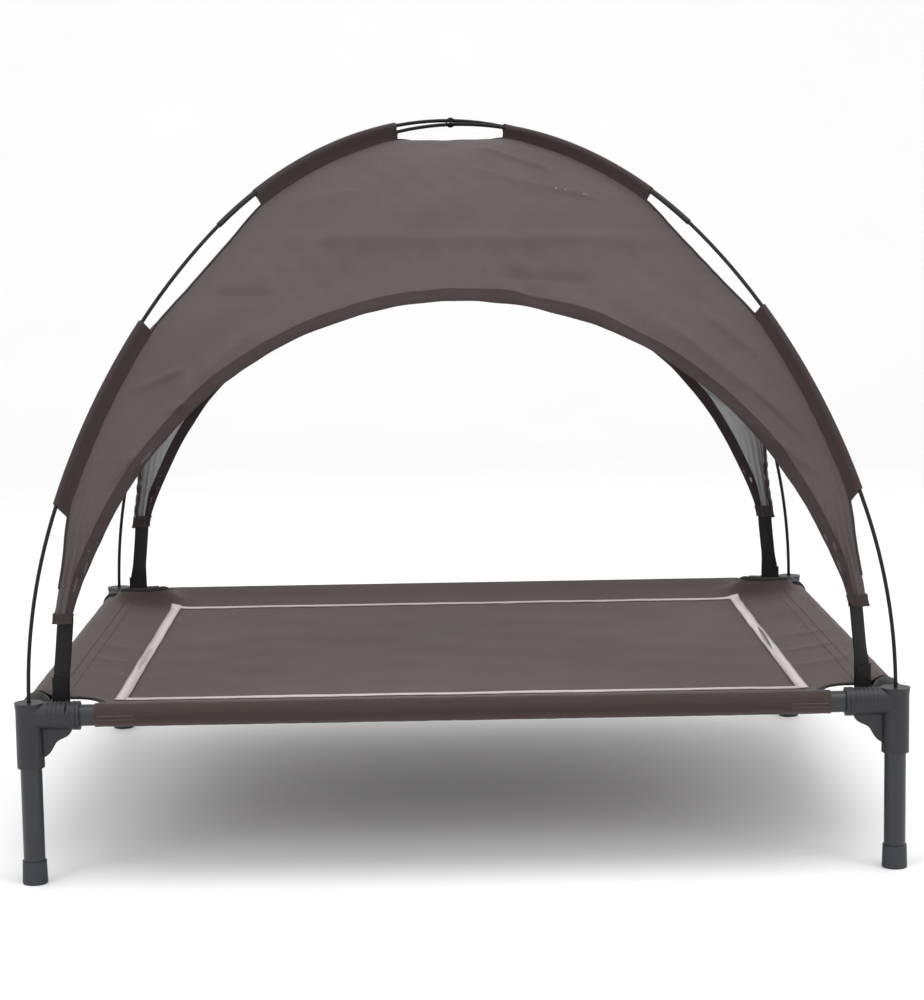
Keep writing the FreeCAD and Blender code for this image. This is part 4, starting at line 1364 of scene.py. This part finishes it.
    def seams(self) -> tuple[list[Patch], list[Patch]]:
        """Rows of stitches along the sleeves: inside the shoulder, and low on the outer face."""
        lay = self.layout
        dark, light = [], []
        for long_side in (True, False):
            reach = (lay.axis_x - self.notch_x if long_side else lay.axis_y - self.notch_y) - 3 * MM
            run = np.linspace(-reach, reach, 300)
            for sign in (-1, 1):
                for inward in (19.0, 29.0):
                    away = (lay.axis_y if long_side else lay.axis_x) - inward * MM
                    x, y = (run, np.full_like(run, sign * away)) if long_side else (np.full_like(run, sign * away), run)
                    path = np.stack([x, y, self.height(x, y) + 0.35 * MM], axis=1)
                    dark.append(stitches(path, np.tile([0.0, 0.0, 1.0], (300, 1)), 3.6 * MM, 2.5 * MM, 0.6 * MM))
                for tilt in (4.0, -14.0):
                    a = math.radians(180 - tilt)
                    out = np.array([math.cos(a), math.sin(a)])
                    ring = out * (lay.sleeve + 0.45 * MM)
                    if long_side:
                        path = np.stack([run, np.full_like(run, sign * (lay.axis_y - ring[0])),
                                         np.full_like(run, lay.rail_z + ring[1])], axis=1)
                        normal = np.tile([0.0, -sign * out[0], out[1]], (300, 1))
                    else:
                        path = np.stack([np.full_like(run, sign * (lay.axis_x - ring[0])), run,
                                         np.full_like(run, lay.rail_z + ring[1])], axis=1)
                        normal = np.tile([-sign * out[0], 0.0, out[1]], (300, 1))
                    for part in (slice(0, 16), slice(284, 300)):
                        light.append(stitches(path[part], normal[part], 2.6 * MM, 1.7 * MM, 0.7 * MM))
                    dark.append(stitches(path[16:284], normal[16:284], 3.6 * MM, 2.5 * MM, 0.55 * MM))
        return dark, light

    def bind(self) -> list[Patch]:
        """The woven binding folded over each notch's edge: a flat loop carried along the edge."""
        lay = self.layout
        r = self.notch_radius
        straight_x = np.linspace(0, 1, 30)[:-1]
        turn = np.linspace(0, math.pi / 2, 24)
        patches = []
        low = 11.0 * MM
        first = np.stack([np.full(29, self.notch_x), low + (self.notch_y - r - low) * straight_x], axis=1)
        arc = np.stack([self.notch_x - r + r * np.cos(turn), self.notch_y - r + r * np.sin(turn)], axis=1)
        last = np.stack([self.notch_x - r - (self.notch_x - r - low) * straight_x[1:], np.full(28, self.notch_y)], axis=1)
        lane = np.concatenate([first, arc, last])
        inward = unit(np.stack([np.gradient(lane[:, 1]), -np.gradient(lane[:, 0])], axis=1))
        outline = np.array([[-0.9, 0.0], [-0.6, 0.85], [0.5, 1.15], [3.0, 1.15], [5.2, 1.0], [5.6, 0.2],
                            [5.6, -0.8], [5.2, -1.6], [3.0, -1.7], [0.5, -1.6], [-0.6, -1.2]]) * MM
        for sx in (-1, 1):
            for sy in (-1, 1):
                place = np.stack([sx * (lay.axis_x - lane[:, 0]), sy * (lay.axis_y - lane[:, 1])], axis=1)
                away = np.stack([-sx * inward[:, 0], -sy * inward[:, 1]], axis=1)
                spot = place[:, None] + away[:, None] * outline[None, :, :1]
                z = self.height(spot[..., 0], spot[..., 1]) + outline[None, :, 1]
                grid = np.concatenate([spot, z[..., None]], axis=-1)
                patch = capped(grid)
                patches.append(patch if sx * sy > 0 else patch.turned())
        return patches

    def tape(self) -> list[Patch]:
        """Four strips of film that lap at the corners, and the thread along both their edges."""
        lay = self.layout
        patches = []
        for long_side in (True, False):
            half = (lay.axis_x if long_side else lay.axis_y) - self.tape_inset
            middle = (lay.axis_y if long_side else lay.axis_x) - self.tape_inset - self.tape_width / 2
            run = np.linspace(-half, half, 260)
            outline = slab_outline(self.tape_width, 0.5 * MM, 0.2 * MM, 3)
            for sign in (-1, 1):
                strip = (10.0 if long_side else 30.0) + 5.0 * sign
                along = np.broadcast_to(run[:, None], (260, len(outline)))
                wave = 0.35 * MM * np.sin(run * 41 + sign) * np.sin(run * 17)
                away = sign * middle + outline[None, :, 0] + wave[:, None]
                x, y = (along, away) if long_side else (away, along)
                lift = (0.75 if long_side else 1.15) * MM + 0.15 * MM * ripple(31 + sign, [x, y], 0.03)
                z = self.height(x, y) + outline[None, :, 1] + lift
                grid = np.stack([x, y, z], axis=-1)
                flat = np.stack([along + strip, np.broadcast_to(outline[None, :, 0], x.shape)], axis=-1)
                patch = capped(grid, 0, np.concatenate([flat, flat[:, -1:]], axis=1))
                patches.append(patch.turned() if long_side else patch)
                for edge in (-1, 1):
                    lane_away = sign * middle + edge * (self.tape_width / 2 - 1.2 * MM) + wave
                    lx, ly = (run, lane_away) if long_side else (lane_away, run)
                    lane = np.stack([lx, ly, self.height(lx, ly) + lift.mean() + 0.35 * MM], axis=1)
                    patches.append(stitches(lane, np.tile([0.0, 0.0, 1.0], (260, 1)), 3.2 * MM, slot=1))
        return patches

    def add(self) -> None:
        """Make the bed's pieces and fix them to the frame."""
        lay = self.layout
        patches = [self.sheet()] + [self.sleeve(long, sign) for long in (True, False) for sign in (-1, 1)]
        sling = build("bed_sling_cloth", patches, [self.mesh_cloth], weld=0.02 * MM, sharp=180.0)
        dark, light = self.seams()
        seams = build("sling_stitching", dark + [Patch(p.points, p.faces, p.flat, 1) for p in light],
                      [self.thread, self.light_thread])
        binding = build("notch_binding", self.bind(), [self.binding])
        tape = build("reflective_strips", self.tape(), [self.film, self.light_thread])
        for piece, node, slot in ((sling, "bed_sling", "sling_mesh"), (seams, None, "sling_mesh"),
                                  (binding, "notch_bindings", "binding_tape"),
                                  (tape, "reflective_tape", "reflective_film")):
            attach(piece, "frame")
            if node:
                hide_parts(node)
        around = 2 * math.pi * lay.sleeve + self.seam_turned
        flat = (round(2 * lay.axis_x + 2 * around, 3), round(2 * lay.axis_y + 2 * around, 3))
        notch = (around + self.notch_x) * (around + self.notch_y) - (1 - math.pi / 4) * self.notch_radius ** 2
        round(flat[0] * flat[1] - 4 * notch, 4)
        LOG.info("bed sling: cut %.3f by %.3f m", *flat)


# ---------------------------------------------------------------- stage


@dataclass(frozen=True)
class Studio:
    """A pale floor, soft light from above and the front, and the camera."""

    eye: tuple[float, float, float] = (-0.0302, -2.784, 0.6918)
    pitch: float = 7.07
    yaw: float = 0.76
    roll: float = -0.88
    focal: float = 2420.0
    drop: float = 4.2
    height: int = 1000

    def camera(self) -> None:
        """Stand the camera at the front, a little above the canopy's shoulder."""
        data = bpy.data.cameras.new("camera")
        data.sensor_width = 36.0
        data.lens = self.focal * data.sensor_width / self.height
        data.shift_y = -self.drop / self.height
        data.clip_start, data.clip_end = 0.05, 60.0
        camera = bpy.data.objects.new("camera", data)
        p, a, r = (math.radians(v) for v in (self.pitch, self.yaw, self.roll))
        ahead = np.array([math.sin(a) * math.cos(p), math.cos(a) * math.cos(p), -math.sin(p)])
        right = np.array([math.cos(a), -math.sin(a), 0.0])
        up = np.cross(right, ahead)
        right, up = math.cos(r) * right + math.sin(r) * up, math.cos(r) * up - math.sin(r) * right
        matrix = np.eye(4)
        matrix[:3, 0], matrix[:3, 1], matrix[:3, 2], matrix[:3, 3] = right, up, -ahead, self.eye
        camera.matrix_world = Matrix(matrix.tolist())
        bpy.context.scene.collection.objects.link(camera)
        bpy.context.scene.camera = camera

    def floor(self) -> None:
        """A wide pale floor that curves up far behind."""
        y = np.concatenate([[-6.0, 3.5], 3.5 + 2.0 * np.sin(np.linspace(0, math.pi / 2, 24)[1:]), [5.5]])
        z = np.concatenate([[0.0, 0.0], 2.0 - 2.0 * np.cos(np.linspace(0, math.pi / 2, 24)[1:]), [9.0]])
        x = np.array([-9.0, 9.0])
        grid = np.stack(np.broadcast_arrays(x[None, :], y[:, None], z[:, None]), axis=-1)
        g = Graph("studio_floor")
        tone = g.noise(g.place(), 3.0, 2.0)
        material = g.finish(Base_Color=g.blend(tone, (0.86, 0.86, 0.86), (0.9, 0.9, 0.9)), Roughness=0.6)
        floor = build("studio_floor", [Patch.grid(grid).turned()], [material])

    def lamp(self, name: str, place: tuple[float, float, float], aim: tuple[float, float, float],
             size: float, power: float) -> None:
        """One square soft light that looks at a point."""
        data = bpy.data.lights.new(name, "AREA")
        data.size = size
        data.energy = power
        lamp = bpy.data.objects.new(name, data)
        back = unit(np.array(place) - np.array(aim))
        side = unit(np.cross([0.0, 0.0, 1.0], back))
        matrix = np.eye(4)
        matrix[:3, 0], matrix[:3, 1], matrix[:3, 2], matrix[:3, 3] = side, np.cross(back, side), back, place
        lamp.matrix_world = Matrix(matrix.tolist())
        bpy.context.scene.collection.objects.link(lamp)

    def light(self) -> None:
        """An even white surround with a large lamp above and two at the front."""
        world = bpy.data.worlds.new("surround")
        world.use_nodes = True
        sky = world.node_tree.nodes["Background"]
        sky.inputs["Color"].default_value = (1.0, 1.0, 1.0, 1.0)
        sky.inputs["Strength"].default_value = 1.0
        bpy.context.scene.world = world
        self.lamp("over", (0.3, -0.6, 3.2), (0.0, 0.0, 0.3), 2.4, 55.0)
        self.lamp("front_left", (-2.2, -2.6, 2.0), (0.0, 0.0, 0.5), 1.6, 30.0)
        self.lamp("front_right", (2.4, -2.2, 1.4), (0.0, 0.0, 0.4), 1.4, 16.0)

    def add(self) -> None:
        """Set the stage."""
        bpy.context.scene.view_settings.view_transform = "Standard"
        self.camera()
        self.floor()
        self.light()


# ---------------------------------------------------------------- finishes of this bed


@dataclass
class Finishes:
    """The bed's finishes, each made once."""

    made: dict[str, bpy.types.Material] = field(default_factory=dict)

    def __post_init__(self) -> None:
        """Make every finish."""
        brown: Colour = (0.084, 0.068, 0.069)
        dark: Colour = (0.038, 0.024, 0.026)
        black: Colour = (0.006, 0.006, 0.0065)
        kinds = [
            MouldedPlastic("connector_nylon", (0.008, 0.0083, 0.0108)),
            MouldedPlastic("foot_rubber", (0.017, 0.0195, 0.026), roughness=0.6),
            PowderCoat("tube_coat", (0.0055, 0.0068, 0.0105)),
            GlossRod("pole_fibre", shade(black, -0.4)),
            GlossRod("ferrule_lacquer", shade(black, 0.3), roughness=0.36),
            Cloth("canopy_polyester", brown, crinkle=0.9 * MM, contrast=0.3),
            Cloth("canopy_silver_lining", (0.52, 0.52, 0.53), metallic=0.3, roughness=0.42, sheen=0.0,
                  contrast=0.16, crinkle=0.8 * MM),
            Cloth("canopy_edging", dark, contrast=0.18, crinkle=0.25 * MM),
            Cloth("sling_mesh", (0.046, 0.026, 0.022), Weave.COATED, pitch=1.3 * MM, relief=0.3 * MM,
                  crinkle=0.05 * MM, roughness=0.55, sheen=0.16, contrast=0.42, streak=0.5),
            Cloth("notch_binding", (0.012, 0.009, 0.010), Weave.RIBBED, pitch=0.9 * MM, relief=0.2 * MM),
            Cloth("strap_webbing", black, Weave.RIBBED, pitch=1.6 * MM, relief=0.35 * MM,
                  crinkle=0.05 * MM, roughness=0.66, sheen=0.02, gloss=0.15),
            Cloth("elastic_braid", black, Weave.RIBBED, pitch=0.8 * MM, relief=0.2 * MM),
            # The film's two lenses are painted dark reflections with painted highlight rims, where the strip twists.
            ReflectiveFilm("reflective_film", (0.58, 0.51, 0.495),
                           painted_reflections=((35.0, 0.085, 3.6 * MM, 2.2 * MM, 0.95), (24.94, 0.08, 5 * MM, 1 * MM, 0.4))),
            Thread("dark_thread", (0.030, 0.021, 0.022)),
            Thread("light_thread", (0.13, 0.11, 0.11)),
        ]
        for kind in kinds:
            self.made[kind.name] = kind.make()

    def __getitem__(self, name: str) -> bpy.types.Material:
        """A finish by its name."""
        return self.made[name]


def dress_nodes(frame: dict, finishes: Finishes) -> None:
    """Give every piece that is shown as the frame holds it its finish.

    Args:
        finishes: the bed's finishes.
    """
    kinds = (("corner_connector", "connector_nylon"), ("foot_cap", "foot_rubber"), ("leg_tube", "tube_coat"),
             ("_rail", "tube_coat"), ("ferrules", "ferrule_lacquer"), ("shock_cord", "elastic_braid"),
             ("_section", "pole_fibre"))
    for name, node in frame["nodes"].items():
        for part, finish in kinds:
            if part in name:
                node.data.materials.clear()
                node.data.materials.append(finishes[finish])


# Creases of the front panel: from and to, as across and down in metres, width and height in mm
FRONT_FOLDS = (
    (0.030, 0.140, 0.117, 0.223, 7, 1.8), (0.083, 0.247, 0.157, 0.281, 6, 2.0),
    (0.020, 0.200, 0.100, 0.262, 12, 1.2), (-0.089, 0.253, -0.186, 0.281, 18, 1.6),
    (-0.220, 0.335, 0.240, 0.345, 17, 1.7), (0.040, 0.395, 0.150, 0.410, 13, -1.4),
    (-0.257, 0.421, -0.194, 0.422, 12, -1.6), (-0.345, 0.552, -0.282, 0.523, 5, 2.0),
    (-0.208, 0.472, -0.278, 0.547, 13, 2.4), (-0.300, 0.574, -0.276, 0.565, 5, 1.4),
    (-0.357, 0.656, -0.331, 0.620, 5, 1.8), (-0.340, 0.650, -0.308, 0.613, 6, 1.8),
    (0.213, 0.470, 0.351, 0.607, 11, 2.6), (0.250, 0.452, 0.369, 0.572, 11, 2.2),
    (0.190, 0.502, 0.320, 0.617, 9, 2.0), (0.320, 0.617, 0.380, 0.664, 6, 2.0),
    (0.300, 0.560, 0.360, 0.625, 5, -1.4), (0.004, 0.110, 0.004, 0.300, 5, 0.7),
)


def panel_folds(side: Side) -> list[Fold]:
    """The creases of one panel: the front's own, and on the others the same ones turned or pressed."""
    flip = -1 if side in (Side.REAR, Side.RIGHT) else 1
    squeeze = flip * (1.0 if side.long else 0.83)
    return [Fold((x0 * squeeze, t0), (x1 * squeeze, t1), wide * 0.75 * MM, high * 2.5 * MM)
            for x0, t0, x1, t1, wide, high in FRONT_FOLDS]


def crossing_tie(layout: Layout, elastic: bpy.types.Material) -> None:
    """Two rounds of elastic cord that hold the poles together where they cross."""
    angle = np.linspace(0, 2 * math.pi, 49)
    patches = []
    middle = np.array([0.0, 0.0, layout.apex - 2.15 * MM])
    for way in (np.array([1.0, 0.0, 0.0]), np.array([0.0, 1.0, 0.0])):
        round_way = np.stack([np.cos(angle)] * 3, axis=1) * way * 4.6 * MM
        path = middle + round_way + np.sin(angle)[:, None] * np.array([0.0, 0.0, 5.0 * MM])
        tangent = unit(np.gradient(path, axis=0))
        side = np.cross(np.array([0.0, 0.0, 1.0]), way)[None].repeat(len(path), 0)
        patches.append(Patch.grid(carry(path, side, np.cross(side, tangent), circle(0.8 * MM, 10)), around=True))
    piece = build("crossing_elastic", patches, [elastic])
    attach(piece, "canopy")
    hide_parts("pole_crossing_tie")


def main() -> None:
    """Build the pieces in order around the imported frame."""
    logging.basicConfig(level=logging.INFO, format="%(name)s: %(message)s")
    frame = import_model()
    layout = Layout.from_frame()
    LOG.info("layout %s", layout)
    finishes = Finishes()
    dress_nodes(frame, finishes)
    pole = PoleLine(layout)
    ridge = RidgeLine(layout, pole)
    for number, side in enumerate(Side):
        CanopyPanel(side, layout, ridge, panel_folds(side), 40 + 7 * number, finishes["canopy_polyester"],
                    finishes["canopy_silver_lining"], finishes["canopy_edging"], finishes["dark_thread"]).add()
    for corner in Corner:
        RidgeTrim(corner, layout, pole, ridge, finishes["canopy_edging"], finishes["dark_thread"],
                  finishes["strap_webbing"]).add()
    BedSling(layout, finishes["sling_mesh"], finishes["notch_binding"], finishes["reflective_film"],
             finishes["dark_thread"], finishes["light_thread"]).add()
    crossing_tie(layout, finishes["elastic_braid"])
    Studio().add()


if __name__ == "__main__":
    main()
